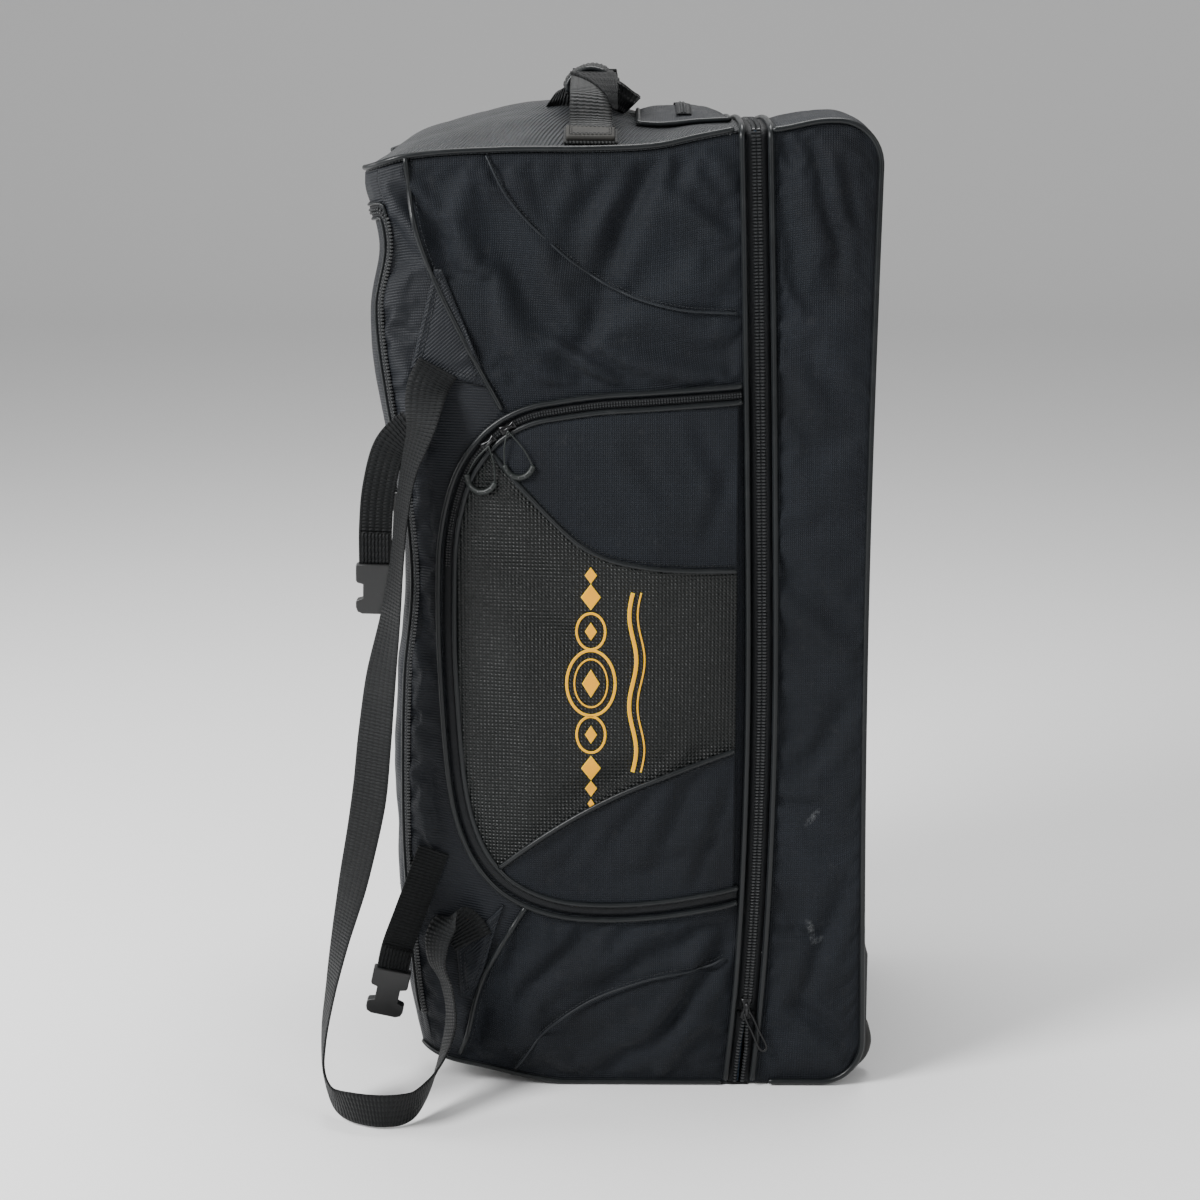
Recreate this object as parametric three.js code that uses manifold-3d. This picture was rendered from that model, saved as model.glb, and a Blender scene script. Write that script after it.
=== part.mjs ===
import * as THREE from 'three';
import { mergeVertices } from 'three/addons/utils/BufferGeometryUtils.js';
import Module from 'manifold-3d';

const wasm = await Module();
wasm.setup();

// Overall sizes in millimetres: +X from the lid to the base compartment, +Y away from the pocket
// side, +Z up from the floor that the bag stands on.
const BAG_HEIGHT = 900;
const BAG_WIDTH = 360;
const MAIN_DEPTH = 330;
const BASE_DEPTH = 98;
const ZIP_BAND = 20;

// Cloth, seams and edges
const CLOTH = 2;
const GAP = 0.4;
const SEAM = CLOTH + GAP;
const LID_CORNER = 38;
const BASE_CORNER = 40;
const SIDE_CROWN = 7;
const BASE_CROWN = 4;
const SPINE_CROWN = 6;
const DOME_RISE = 36;
const RIM_BOW = 8;
const FOLD_DEPTH = 9;
const PIPING_RADIUS = 2.6;
const PIPING_SIDES = 5;

// Base zip
const ZIP_OPEN_HEIGHT = 74;
const TEETH_WIDTH = 6;
const TEETH_RISE = 2.2;
const OPEN_TAPE_WIDTH = 6.5;

// Side pocket
const POCKET_LID_CLEAR = 68;
const POCKET_UPPER_CLEAR = 17.6;
const POCKET_LOWER_CLEAR = 10.6;
const POCKET_CORNER = 92;
const POCKET_RISE = 11;
const POCKET_ZIP_WIDTH = 9;
const POCKET_ZIP_THICK = 3;

// End pocket
const END_POCKET_WIDTH = 210;
const END_POCKET_DEPTH = 82;
const END_POCKET_RISE = 11;

// Webbing
const WEBBING = 38;
const STRAP_WIDTH = 30;
const WEBBING_THICK = 2.2;
const PATCH_THICK = 2;
const BUCKLE_LENGTH = 46;
const BUCKLE_WIDTH = 35;
const BUCKLE_THICK = 11;

// Haul handle
const GRIP_LENGTH = 112;
const GRIP_WIDTH = 62;
const GRIP_THICK = 4.5;
const HAUL_CLEAR = 28;
const HAUL_PATCH_WIDTH = 48;

// Wheels
const WHEEL_RADIUS = 32;
const WHEEL_WIDTH = 24;
const HUB_RADIUS = 21;
const AXLE_RADIUS = 4;
const WHEEL_CLEAR = 4;
const WHEEL_SIDES = 14;
const WHEEL_FLOOR_GAP = 3;
const HOUSING_WALL = 3;
const HOUSING_WIDTH = 56;
const HOUSING_HEIGHT = 128;
const HOUSING_PROUD = 3;
const HOUSING_INSET = 4;
const FIT = 0.3;

// Places that follow from the sizes above
const HALF = BAG_WIDTH / 2;
const RIM_X = (MAIN_DEPTH - BASE_DEPTH - ZIP_BAND) / 2;
const LID_X = RIM_X - MAIN_DEPTH;
const BASE_X = RIM_X + ZIP_BAND;
const SPINE_X = BASE_X + BASE_DEPTH;
const WHEEL_X = SPINE_X - 22;
const WHEEL_Z = WHEEL_RADIUS + WHEEL_FLOOR_GAP;
const SLOT_WIDTH = WHEEL_WIDTH + 2 * WHEEL_CLEAR;
const HOUSING_Y = HALF - SEAM - HOUSING_INSET - HOUSING_WIDTH / 2;

// Outline tables. Each row is [share of the height, share of the depth or bow].
const LID_LINE = [
  [0, 0.09], [0.03, 0.074], [0.062, 0.058], [0.153, 0.039], [0.265, 0.027], [0.43, 0.036],
  [0.538, 0.062], [0.643, 0.056], [0.748, 0.024], [0.85, 0.0], [0.911, 0.016], [0.95, -0.006],
  [0.985, -0.03], [1, -0.03],
];
const RIM_LINE = [
  [0, -1.2], [0.118, 0], [0.265, 0.75], [0.43, 1], [0.643, 0.65], [0.85, 0.1], [1, -0.4],
];

// Each row is [share of the depth from base zip to lid, share of the height].
const TOP_LINE = [
  [0, 0.991], [0.127, 0.982], [0.245, 0.973], [0.4, 0.97], [0.66, 0.969], [0.9, 0.963], [1.03, 0.949],
];
const BOTTOM_LINE = [[0, 0], [0.44, 0], [0.5, 0], [0.6, 0.006], [0.7, 0.015], [0.85, 0.028], [1, 0.045]];

// Each row is [share of the depth from base zip to lid, share of the dome's rise].
const DOME_LINE = [[0.12, 0.5], [0.3, 0.95], [0.55, 1], [0.75, 0.72], [0.93, 0.35], [1.02, 0.02]];

// Folds of a side panel: ends as shares of depth (u) and height (v), half width as a share of the
// height, depth as a share of FOLD_DEPTH.
const MAIN_FOLDS = [
  { u1: 0.242, v1: 0.961, u2: 0.391, v2: 0.856, width: 0.017, depth: 1.0 },
  { u1: 0.173, v1: 0.962, u2: 0.206, v2: 0.936, width: 0.014, depth: 0.7 },
  { u1: 0.712, v1: 0.92, u2: 0.5, v2: 0.774, width: 0.026, depth: 1.0 },
  { u1: 0.539, v1: 0.785, u2: 0.339, v2: 0.755, width: 0.018, depth: 0.8 },
  { u1: 0.158, v1: 0.936, u2: 0.015, v2: 0.887, width: 0.015, depth: 0.7 },
  { u1: 0.04, v1: 0.182, u2: 0.51, v2: 0.097, width: 0.018, depth: 0.9 },
  { u1: 0.03, v1: 0.155, u2: 0.285, v2: 0.032, width: 0.017, depth: 0.8 },
  { u1: 0.776, v1: 0.1, u2: 0.503, v2: 0.045, width: 0.02, depth: 0.6 },
  { u1: 0.94, v1: 0.933, u2: 0.806, v2: 0.87, width: 0.016, depth: 0.7 },
];
const BASE_FOLDS = [
  { u1: 0.0, v1: 0.982, u2: 0.2, v2: 0.949, width: 0.012, depth: 0.4 },
  { u1: 0.337, v1: 0.987, u2: 0.673, v2: 0.83, width: 0.015, depth: 0.6 },
  { u1: 0.14, v1: 0.844, u2: 0.8, v2: 0.667, width: 0.024, depth: 0.7 },
  { u1: 0.8, v1: 0.533, u2: 0.14, v2: 0.367, width: 0.024, depth: 0.6 },
  { u1: 0.776, v1: 0.237, u2: 0.184, v2: 0.032, width: 0.018, depth: 0.42 },
  { u1: 0.05, v1: 0.315, u2: 0.3, v2: 0.32, width: 0.012, depth: 0.4 },
];

// Route of a carry handle: along is the share of MAIN_DEPTH from base zip to lid, out the share of
// BAG_WIDTH that it stands off the side, up the share of BAG_HEIGHT, turn and tilt the direction of
// its width in degrees.
const HANDLE_ROUTE = [
  { along: 0.83, out: 0.027, up: 0.758, turn: 0, tilt: 0 },
  { along: 0.858, out: 0.028, up: 0.738, turn: -4, tilt: 0 },
  { along: 0.874, out: 0.062, up: 0.7, turn: -45, tilt: 0 },
  { along: 0.909, out: 0.078, up: 0.656, turn: -66, tilt: 0 },
  { along: 0.93, out: 0.09, up: 0.608, turn: -70, tilt: 0 },
  { along: 0.945, out: 0.096, up: 0.558, turn: -68, tilt: 0 },
  { along: 0.963, out: 0.1, up: 0.508, turn: -58, tilt: 0 },
  { along: 0.99, out: 0.112, up: 0.448, turn: -40, tilt: 0 },
  { along: 1.009, out: 0.122, up: 0.387, turn: -32, tilt: 0 },
  { along: 1.027, out: 0.134, up: 0.325, turn: -30, tilt: 0 },
  { along: 1.07, out: 0.156, up: 0.244, turn: -42, tilt: 0 },
  { along: 1.109, out: 0.175, up: 0.182, turn: -62, tilt: 0 },
  { along: 1.136, out: 0.192, up: 0.131, turn: -74, tilt: 0 },
  { along: 1.157, out: 0.206, up: 0.079, turn: -80, tilt: 0 },
  { along: 1.155, out: 0.224, up: 0.034, turn: -84, tilt: 28 },
  { along: 1.12, out: 0.262, up: 0.004, turn: -88, tilt: 58 },
  { along: 1.05, out: 0.304, up: 0, turn: -90, tilt: 70 },
  { along: 0.972, out: 0.318, up: 0, turn: -90, tilt: 72 },
  { along: 0.912, out: 0.288, up: 0.001, turn: -92, tilt: 62 },
  { along: 0.872, out: 0.236, up: 0.016, turn: -90, tilt: 38 },
  { along: 0.834, out: 0.174, up: 0.048, turn: -80, tilt: 12 },
  { along: 0.81, out: 0.128, up: 0.086, turn: -74, tilt: 0 },
  { along: 0.822, out: 0.102, up: 0.12, turn: -68, tilt: 0 },
  { along: 0.85, out: 0.084, up: 0.145, turn: -60, tilt: 4 },
  { along: 0.846, out: 0.064, up: 0.166, turn: -44, tilt: 16 },
  { along: 0.812, out: 0.044, up: 0.178, turn: -14, tilt: 30 },
  { along: 0.776, out: 0.03, up: 0.164, turn: 0, tilt: 36 },
  { along: 0.752, out: 0.0262, up: 0.148, turn: 0, tilt: 36 },
];

// The far handle hangs nearer the base than the near one, by this share of the depth at most.
const FAR_HANDLE_SHIFT = 0.33;

// Compression straps of the near side, in the handle route's columns.
const UPPER_STRAP_ROUTE = [
  { along: 0.88, out: 0.004, up: 0.702, turn: -12, tilt: -26 },
  { along: 0.918, out: 0.0, up: 0.693, turn: -14, tilt: -24 },
  { along: 0.965, out: 0.002, up: 0.675, turn: -6, tilt: -18 },
  { along: 0.997, out: 0.007, up: 0.635, turn: 0, tilt: -6 },
  { along: 1.008, out: 0.01, up: 0.595, turn: 2, tilt: 0 },
  { along: 1.01, out: 0.008, up: 0.558, turn: 0, tilt: 0 },
];
const LOWER_STRAP_ROUTE = [
  { along: 0.86, out: 0.014, up: 0.25, turn: 8, tilt: -30 },
  { along: 0.89, out: 0.024, up: 0.222, turn: 14, tilt: -26 },
  { along: 0.93, out: 0.03, up: 0.185, turn: 12, tilt: -16 },
  { along: 0.966, out: 0.03, up: 0.15, turn: 6, tilt: -8 },
  { along: 0.98, out: 0.026, up: 0.128, turn: 2, tilt: -2 },
];

// Corners of the carry handle's anchor patches, as shares of depth from the base zip and of height.
const UPPER_PATCH = [[0.875, 0.75], [0.855, 0.842], [0.79, 0.842], [0.7, 0.744]];
const LOWER_PATCH = [[0.8, 0.15], [0.79, 0.1], [0.755, 0.094], [0.665, 0.186]];

// The side pocket fills the side between the two anchor patches and the lid's corner.
const POCKET_TOP = UPPER_PATCH[3][1] * BAG_HEIGHT - POCKET_UPPER_CLEAR;
const POCKET_BOTTOM = LOWER_PATCH[3][1] * BAG_HEIGHT + POCKET_LOWER_CLEAR;
const POCKET_DEPTH = MAIN_DEPTH - POCKET_LID_CLEAR;

// Colours of the cloth and fittings
const LOOKS = {
  ripstop: { color: 0x1f242c, roughness: 0.62, metalness: 0 },
  end_cloth: { color: 0x34383f, roughness: 0.8, metalness: 0 },
  coated: { color: 0x1d2124, roughness: 0.45, metalness: 0 },
  piping: { color: 0x2b2e33, roughness: 0.6, metalness: 0 },
  webbing: { color: 0x14161a, roughness: 0.85, metalness: 0 },
  zip: { color: 0x17191d, roughness: 0.4, metalness: 0 },
  moulded: { color: 0x1a1c1f, roughness: 0.5, metalness: 0 },
  tyre: { color: 0x222222, roughness: 0.8, metalness: 0 },
  steel: { color: 0x9a9c9e, roughness: 0.35, metalness: 1 },
};

const mix = (a, b, t) => a + (b - a) * t;
const point = (x, y, z) => new THREE.Vector3(x, y, z);
const steps = (count) => Array.from({ length: count + 1 }, (_, i) => i / count);

// Smooth value of a table of [place, value] rows.
function follow(rows, t) {
  const last = rows.length - 1;
  if (t <= rows[0][0]) return rows[0][1];
  if (t >= rows[last][0]) return rows[last][1];
  const i = rows.findIndex((row, k) => k < last && t <= rows[k + 1][0]);
  const slope = (k) => {
    const before = rows[Math.max(k - 1, 0)];
    const after = rows[Math.min(k + 1, last)];
    return (after[1] - before[1]) / (after[0] - before[0]);
  };
  const span = rows[i + 1][0] - rows[i][0];
  const s = (t - rows[i][0]) / span;
  const s2 = s * s;
  const s3 = s2 * s;
  return (2 * s3 - 3 * s2 + 1) * rows[i][1] + (s3 - 2 * s2 + s) * span * slope(i)
    + (3 * s2 - 2 * s3) * rows[i + 1][1] + (s3 - s2) * span * slope(i + 1);
}

// Depth of the folds at one place of a side panel.
function foldDepth(folds, x, z, edge, depth) {
  let total = 0;
  for (const fold of folds) {
    const a = new THREE.Vector2(edge + fold.u1 * depth, fold.v1 * BAG_HEIGHT);
    const b = new THREE.Vector2(edge + fold.u2 * depth, fold.v2 * BAG_HEIGHT);
    const along = b.clone().sub(a);
    const t = THREE.MathUtils.clamp(
      new THREE.Vector2(x, z).sub(a).dot(along) / along.lengthSq(), 0, 1);
    const distance = a.addScaledVector(along, t).distanceTo(new THREE.Vector2(x, z));
    total += fold.depth * Math.exp(-((distance / (fold.width * BAG_HEIGHT)) ** 2));
  }
  return Math.min(total, 1.3) * FOLD_DEPTH;
}

// Solid between two grids of points of the same size.
function slab(front, back) {
  const rows = front.length;
  const cols = front[0].length;
  const corners = [...front.flat(), ...back.flat()];
  const faces = [];
  const at = (side, i, j) => side * rows * cols + i * cols + j;
  const quad = (a, b, c, d) => faces.push(a, b, c, a, c, d);
  for (let i = 0; i < rows - 1; i += 1) {
    for (let j = 0; j < cols - 1; j += 1) {
      quad(at(0, i, j), at(0, i, j + 1), at(0, i + 1, j + 1), at(0, i + 1, j));
      quad(at(1, i, j), at(1, i + 1, j), at(1, i + 1, j + 1), at(1, i, j + 1));
    }
    quad(at(0, i, 0), at(0, i + 1, 0), at(1, i + 1, 0), at(1, i, 0));
    quad(at(0, i + 1, cols - 1), at(0, i, cols - 1), at(1, i, cols - 1), at(1, i + 1, cols - 1));
  }
  for (let j = 0; j < cols - 1; j += 1) {
    quad(at(0, 0, j + 1), at(0, 0, j), at(1, 0, j), at(1, 0, j + 1));
    quad(at(0, rows - 1, j), at(0, rows - 1, j + 1), at(1, rows - 1, j + 1), at(1, rows - 1, j));
  }
  return solid(corners, faces);
}

// Closed body from points and triangles, turned so that its faces point out.
function solid(corners, faces) {
  let volume = 0;
  for (let i = 0; i < faces.length; i += 3) {
    const [a, b, c] = [corners[faces[i]], corners[faces[i + 1]], corners[faces[i + 2]]];
    volume += a.dot(b.clone().cross(c));
  }
  if (volume < 0) faces.reverse();
  const geometry = new THREE.BufferGeometry();
  geometry.setAttribute('position',
    new THREE.Float32BufferAttribute(corners.flatMap((p) => [p.x, p.y, p.z]), 3));
  geometry.setIndex(faces);
  geometry.computeVertexNormals();
  return geometry;
}

// The same grid moved along its own normals, with mitred corners.
function moved(grid, distance) {
  const rows = grid.length;
  const cols = grid[0].length;
  const normals = [];
  for (let i = 0; i < rows - 1; i += 1) {
    normals.push([]);
    for (let j = 0; j < cols - 1; j += 1) {
      const across = grid[i + 1][j + 1].clone().sub(grid[i][j]);
      const back = grid[i + 1][j].clone().sub(grid[i][j + 1]);
      normals[i].push(across.cross(back).normalize());
    }
  }
  return grid.map((row, i) => row.map((p, j) => {
    const around = [];
    for (const a of [i - 1, i]) {
      for (const b of [j - 1, j]) {
        if (normals[a] && normals[a][b]) around.push(normals[a][b]);
      }
    }
    const mean = around.reduce((sum, n) => sum.add(n), point(0, 0, 0)).normalize();
    const reach = Math.max(0.5, Math.min(...around.map((n) => n.dot(mean))));
    return p.clone().addScaledVector(mean, distance / reach);
  }));
}

// Sheet of cloth whose outer face is the grid; inward is a point on its inner side.
function sheet(grid, inward, thick = CLOTH) {
  const test = moved(grid, 1);
  const i = Math.floor(grid.length / 2);
  const j = Math.floor(grid[0].length / 2);
  const closer = test[i][j].distanceTo(inward) < grid[i][j].distanceTo(inward);
  return slab(grid, moved(grid, closer ? thick : -thick));
}

// Tube of round section along a smooth curve, with its steps spaced as the points are.
function tube(points, radius, refine = 1, sides = PIPING_SIDES) {
  const section = new THREE.Shape(steps(sides).slice(0, sides).map((t) => new THREE.Vector2(
    radius * Math.cos(2 * Math.PI * t), radius * Math.sin(2 * Math.PI * t))));
  const path = new THREE.CatmullRomCurve3(points, false, 'centripetal');
  path.getUtoTmapping = (u) => u;
  return new THREE.ExtrudeGeometry(section, { extrudePath: path, steps: (points.length - 1) * refine });
}

// Flat strap along a list of { at, across } stations.
function ribbon(stations, width, thick, refine = 1) {
  const path = new THREE.CatmullRomCurve3(stations.map((s) => s.at), false, 'centripetal');
  const turns = new THREE.CatmullRomCurve3(stations.map((s) => s.across), false, 'centripetal');
  const last = (stations.length - 1) * refine;
  const front = [];
  const back = [];
  for (let i = 0; i <= last; i += 1) {
    const at = path.getPoint(i / last);
    const tangent = path.getTangent(i / last);
    const across = turns.getPoint(i / last);
    across.addScaledVector(tangent, -across.dot(tangent)).normalize();
    const normal = tangent.clone().cross(across).normalize();
    const edge = (side, face) => at.clone()
      .addScaledVector(across, side * width / 2).addScaledVector(normal, face * thick / 2);
    front.push([edge(-1, 1), edge(1, 1)]);
    back.push([edge(-1, -1), edge(1, -1)]);
  }
  return slab(front, back);
}

// Outline of the compartments
const rimX = (v) => RIM_X + RIM_BOW * follow(RIM_LINE, v);
const lidX = (v) => LID_X + MAIN_DEPTH * follow(LID_LINE, v);
const share = (x) => (RIM_X - x) / MAIN_DEPTH;
const topZ = (x) => BAG_HEIGHT * follow(TOP_LINE, share(x));
const bottomZ = (x) => BAG_HEIGHT * Math.max(0, follow(BOTTOM_LINE, share(x)));
const bump = (t, power) => 1 - Math.abs(2 * THREE.MathUtils.clamp(t, 0, 1) - 1) ** power;
const arch = (y) => 1 - Math.min(1, Math.abs(y) / HALF) ** 2.2;
const domeRise = (x) => (share(x) < DOME_LINE[0][0]
  ? mix(SPINE_CROWN, DOME_LINE[0][1] * DOME_RISE, THREE.MathUtils.clamp(share(x) / DOME_LINE[0][0], 0, 1))
  : DOME_RISE * follow(DOME_LINE, share(x)));

// Height of the domed top end at one place.
const domeZ = (x, y) => topZ(x) + domeRise(x) * arch(y);

// Place on a side of the main compartment: u from 0 at the base zip to 1 where the side turns to the
// lid and on to 2 at the lid's face, v from 0 at the bottom to 1 at the top, lift outwards.
function mainSide(u, v, { side = -1, lift = 0, inset = 0, folds = true } = {}) {
  const seam = lidX(v) + LID_CORNER;
  const turn = Math.max(0, u - 1) * Math.PI / 2;
  const x = u <= 1 ? mix(rimX(v), seam, u) : seam - (LID_CORNER + lift) * Math.sin(turn);
  const z = mix(bottomZ(x) + inset, topZ(x) - inset, v);
  const crown = u <= 1 ? SIDE_CROWN * bump(u, 4) * bump(v, 6) : 0;
  const dent = folds ? mainDent(x, z) : 0;
  const y = u <= 1
    ? HALF + crown + lift - dent
    : HALF - LID_CORNER + (LID_CORNER + lift) * Math.cos(turn) - dent * Math.cos(turn);
  return point(x, side * y, z);
}

// Folds fade out under the pocket and the anchor patches.
function mainDent(x, z) {
  const past = (value, low, high, fade) => THREE.MathUtils.smoothstep(
    Math.max(low - value, value - high), 4, 4 + fade);
  const clear = Math.max(
    past(z, POCKET_BOTTOM, POCKET_TOP, 18), past(x, RIM_X - POCKET_DEPTH, RIM_X, 12));
  const right = past(x, LID_X, RIM_X - 0.7 * MAIN_DEPTH, 20);
  const upper = Math.max(right, past(z, 0.73 * BAG_HEIGHT, 0.85 * BAG_HEIGHT, 12));
  const lower = Math.max(
    past(x, LID_X, RIM_X - 0.6 * MAIN_DEPTH, 16), past(z, 0.08 * BAG_HEIGHT, 0.22 * BAG_HEIGHT, 12));
  const rim = THREE.MathUtils.smoothstep(RIM_X - x, 4, 30);
  const ends = THREE.MathUtils.smoothstep(Math.min(z - bottomZ(x), topZ(x) - z), 2, 26);
  return foldDepth(MAIN_FOLDS, x, z, RIM_X, -MAIN_DEPTH) * clear * upper * lower * rim * ends;
}

// Place at a given x and z of the near or far side of the main compartment.
function onSide(x, z, lift, side = -1) {
  const v = (z - bottomZ(x)) / (topZ(x) - bottomZ(x));
  const seam = lidX(v) + LID_CORNER;
  if (x >= seam) {
    const u = (rimX(v) - x) / (rimX(v) - seam);
    return mainSide(u, v, { side, lift, folds: false });
  }
  const turn = Math.asin(Math.min(1, (seam - x) / LID_CORNER));
  return mainSide(1 + turn / (Math.PI / 2), v, { side, lift, folds: false });
}

// Grid over the part of a side where every row and column is given.
const gridOf = (vs, us, place) => vs.map((v) => us.map((u) => place(u, v)));

const NEAR_COLUMNS = [...steps(13), 1.2, 1.4];
const NEAR_ROWS = [
  ...steps(9).map((t) => 0.19 * t), 0.26, 0.35, 0.44, 0.53, 0.61, 0.69,
  ...steps(13).map((t) => mix(0.74, 1, t)),
];
const FAR_COLUMNS = [...[0, 1, 2, 3, 5, 8, 9, 10, 11].map((k) => k / 11), 1.2, 1.4];
const LID_ROWS = [0, 0.0422, 0.0844, 0.1478, 0.26, 0.35, 0.44, 0.53, 0.61, 0.69, 0.76, 0.82, 0.86,
  0.9, 0.92, 0.94, 0.96, 0.98, 1];
const FAR_ROWS = LID_ROWS;
const LID_EDGE = 1.44;

function mainSidePanel(side) {
  const near = side < 0;
  const grid = gridOf(near ? NEAR_ROWS : FAR_ROWS, near ? NEAR_COLUMNS : FAR_COLUMNS,
    (u, v) => mainSide(u, v, { side, inset: SEAM, folds: near }));
  return sheet(grid, point(0, 0, BAG_HEIGHT / 2));
}

// Lid on the left face: round the near corner, across, and round the far corner.
function lidPlace(w, v, lift, inset) {
  const sides = 2 - LID_EDGE;
  if (w < 0) return mainSide(LID_EDGE + sides * (w + 1), v, { side: -1, lift, inset, folds: false });
  if (w > 1) return mainSide(LID_EDGE + sides * (2 - w), v, { side: 1, lift, inset, folds: false });
  const half = HALF - LID_CORNER;
  const x = lidX(v) - lift;
  return point(x, mix(-half, half, w), mix(bottomZ(lidX(v)) + inset, topZ(lidX(v)) - inset, v));
}

const LID_COLUMNS = [-1, -0.5, 0, 0.5, 1, 1.5, 2];

function lidPanel() {
  const grid = gridOf(LID_ROWS, LID_COLUMNS, (w, v) => lidPlace(w, v, 0, SEAM));
  return sheet(grid, point(0, 0, BAG_HEIGHT / 2));
}

// Lid zip: a raised strip laid over the seam, up the near side, across the top and down the far
// side. Stations give the place on the lid and the direction across the strip.
function lidZip() {
  const turnLength = (2 - LID_EDGE) * LID_CORNER * Math.PI / 2;
  const side = (sign) => LID_ROWS.slice(1, 14).map((v) => (
    { w: sign < 0 ? -1.03 : 2.03, v, dw: sign, dv: 0 }));
  const corner = (sign) => [[0.97, 0.935, 0.9, 0.3], [0.8, 0.95, 0.4, 0.9], [0.4, 0.955, 0, 1]].map(
    ([reach, v, dw, dv]) => ({ w: sign < 0 ? -reach : 1 + reach, v, dw: sign * dw, dv }));
  const over = [0, 0.25, 0.5, 0.75, 1].map((w) => ({ w, v: 0.955, dw: 0, dv: 1 }));
  const stations = [...side(-1), ...corner(-1), ...over, ...corner(1).reverse(), ...side(1).reverse()];
  const strip = (lift, reach) => stations.map(({ w, v, dw, dv }) => [-1, 0, 1].map((edge) => lidPlace(
    w + edge * dw * reach / turnLength, v + edge * dv * reach / BAG_HEIGHT, lift, SEAM)));
  return slab(strip(2 * GAP + TEETH_RISE, 4), strip(2 * GAP, 8));
}

// Half width of the top and bottom ends, which follow the turn to the lid.
function endHalf(x, v) {
  const past = Math.max(0, lidX(v) + LID_CORNER - x);
  return HALF - LID_CORNER + Math.sqrt(Math.max(0, LID_CORNER ** 2 - past ** 2));
}

// Places along an end, from the base zip to the lid, as x.
function endColumns(v, flat, rim = rimX(v)) {
  const seam = lidX(v) + LID_CORNER;
  const straight = steps(flat).map((t) => mix(rim, seam, t));
  return [...straight, ...[0.2, 0.4, 0.6, 0.8, 1].map((t) => seam - LID_CORNER * Math.sin(t * Math.PI / 2))];
}

function topEndPanel() {
  const across = [-1, -0.9, -0.62, -0.3, 0, 0.3, 0.62, 0.9, 1];
  const grid = gridOf(across, endColumns(1, 11), (x, w) => {
    const y = w * endHalf(x, 1);
    return point(x, y, domeZ(x, y * HALF / endHalf(x, 1)));
  });
  return sheet(grid, point(0, 0, 0));
}

function bottomEndPanel() {
  const flat = RIM_X - BOTTOM_LINE[1][0] * MAIN_DEPTH;
  const columns = endColumns(0, 15).filter((x) => x >= rimX(0) || x < flat);
  columns.unshift(rimX(0) + ZIP_BAND - GAP);
  const grid = gridOf([-1, 1], columns,
    (x, w) => point(x, w * endHalf(x, 0), bottomZ(x)));
  return sheet(grid, point(0, 0, BAG_HEIGHT));
}

// Divider between the compartments, behind the base zip.
function divider() {
  const edge = HALF - CLOTH - GAP;
  const grid = gridOf(steps(6), [-1, -0.5, 0, 0.5, 1], (w, v) => {
    const y = w * edge;
    const x = rimX(v) + ZIP_BAND / 2;
    return point(x, y, mix(SEAM, domeZ(RIM_X, y) - SEAM, v));
  });
  return sheet(grid, point(-MAIN_DEPTH, 0, BAG_HEIGHT / 2));
}

// Base compartment: flat stretch, then the rounded corner, as shares and angles.
const BASE_FLAT = [0, 0.3, 0.6, 1];
const BASE_ANGLES = [18, 36, 54, 72, 90];

function baseColumn(key, v, inset) {
  const centre = SPINE_X - BASE_CORNER;
  const bow = RIM_BOW * 0.35 * Math.sin(Math.PI * v);
  const edge = rimX(v) + ZIP_BAND;
  const radius = BASE_CORNER - inset;
  if (key.flat !== undefined) {
    const drop = (BAG_HEIGHT - topZ(RIM_X)) * (1 - THREE.MathUtils.smoothstep(key.flat, 0, 0.9));
    const x = mix(edge, centre + bow, key.flat);
    return { x, low: inset, high: BAG_HEIGHT - drop - inset };
  }
  const angle = THREE.MathUtils.degToRad(key.angle);
  const rise = radius * Math.cos(angle);
  return {
    x: centre + bow + radius * Math.sin(angle),
    low: BASE_CORNER - rise,
    high: BAG_HEIGHT - BASE_CORNER + rise,
  };
}

const BASE_KEYS = [...BASE_FLAT.map((flat) => ({ flat })), ...BASE_ANGLES.map((angle) => ({ angle }))];
const BASE_NEAR_ROWS = [
  ...steps(7).map((t) => 0.24 * t), 0.32, 0.4, 0.48, 0.58, ...steps(9).map((t) => mix(0.66, 1, t)),
];
const BASE_FAR_ROWS = steps(10);

function baseSide(key, v, { side = -1, lift = 0, inset = 0, folds = true } = {}) {
  const { x, low, high } = baseColumn(key, v, inset);
  const z = mix(low, high, v);
  const across = (x - rimX(v) - ZIP_BAND) / BASE_DEPTH;
  const crown = BASE_CROWN * bump(across, 3) * bump(v, 8);
  const calm = THREE.MathUtils.smoothstep(Math.min(x - BASE_X, SPINE_X - x, z, BAG_HEIGHT - z), 2, 22);
  const dent = folds ? foldDepth(BASE_FOLDS, x, z, BASE_X, BASE_DEPTH) * calm : 0;
  return point(x, side * (HALF + crown + lift - dent), z);
}

function baseSidePanel(side) {
  const near = side < 0;
  const grid = gridOf(near ? BASE_NEAR_ROWS : BASE_FAR_ROWS, BASE_KEYS,
    (key, v) => baseSide(key, v, { side, inset: SEAM, folds: near }));
  return sheet(grid, point((BASE_X + SPINE_X) / 2, 0, BAG_HEIGHT / 2));
}

// Path of the spine from the base zip over the top and down to a height.
function spinePath(lowest) {
  const over = BASE_KEYS.map((key) => {
    const { x, high } = baseColumn(key, 1, 0);
    const angle = THREE.MathUtils.degToRad(key.angle ?? 0);
    return { x, z: high, out: point(Math.sin(angle), 0, Math.cos(angle)) };
  });
  const down = steps(9).slice(1).map((t) => {
    const z = mix(BAG_HEIGHT - BASE_CORNER, lowest, t);
    const v = (z - BASE_CORNER) / (BAG_HEIGHT - 2 * BASE_CORNER);
    return { x: baseColumn({ angle: 90 }, v, 0).x, z, out: point(1, 0, 0) };
  });
  return [...over, ...down];
}

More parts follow.
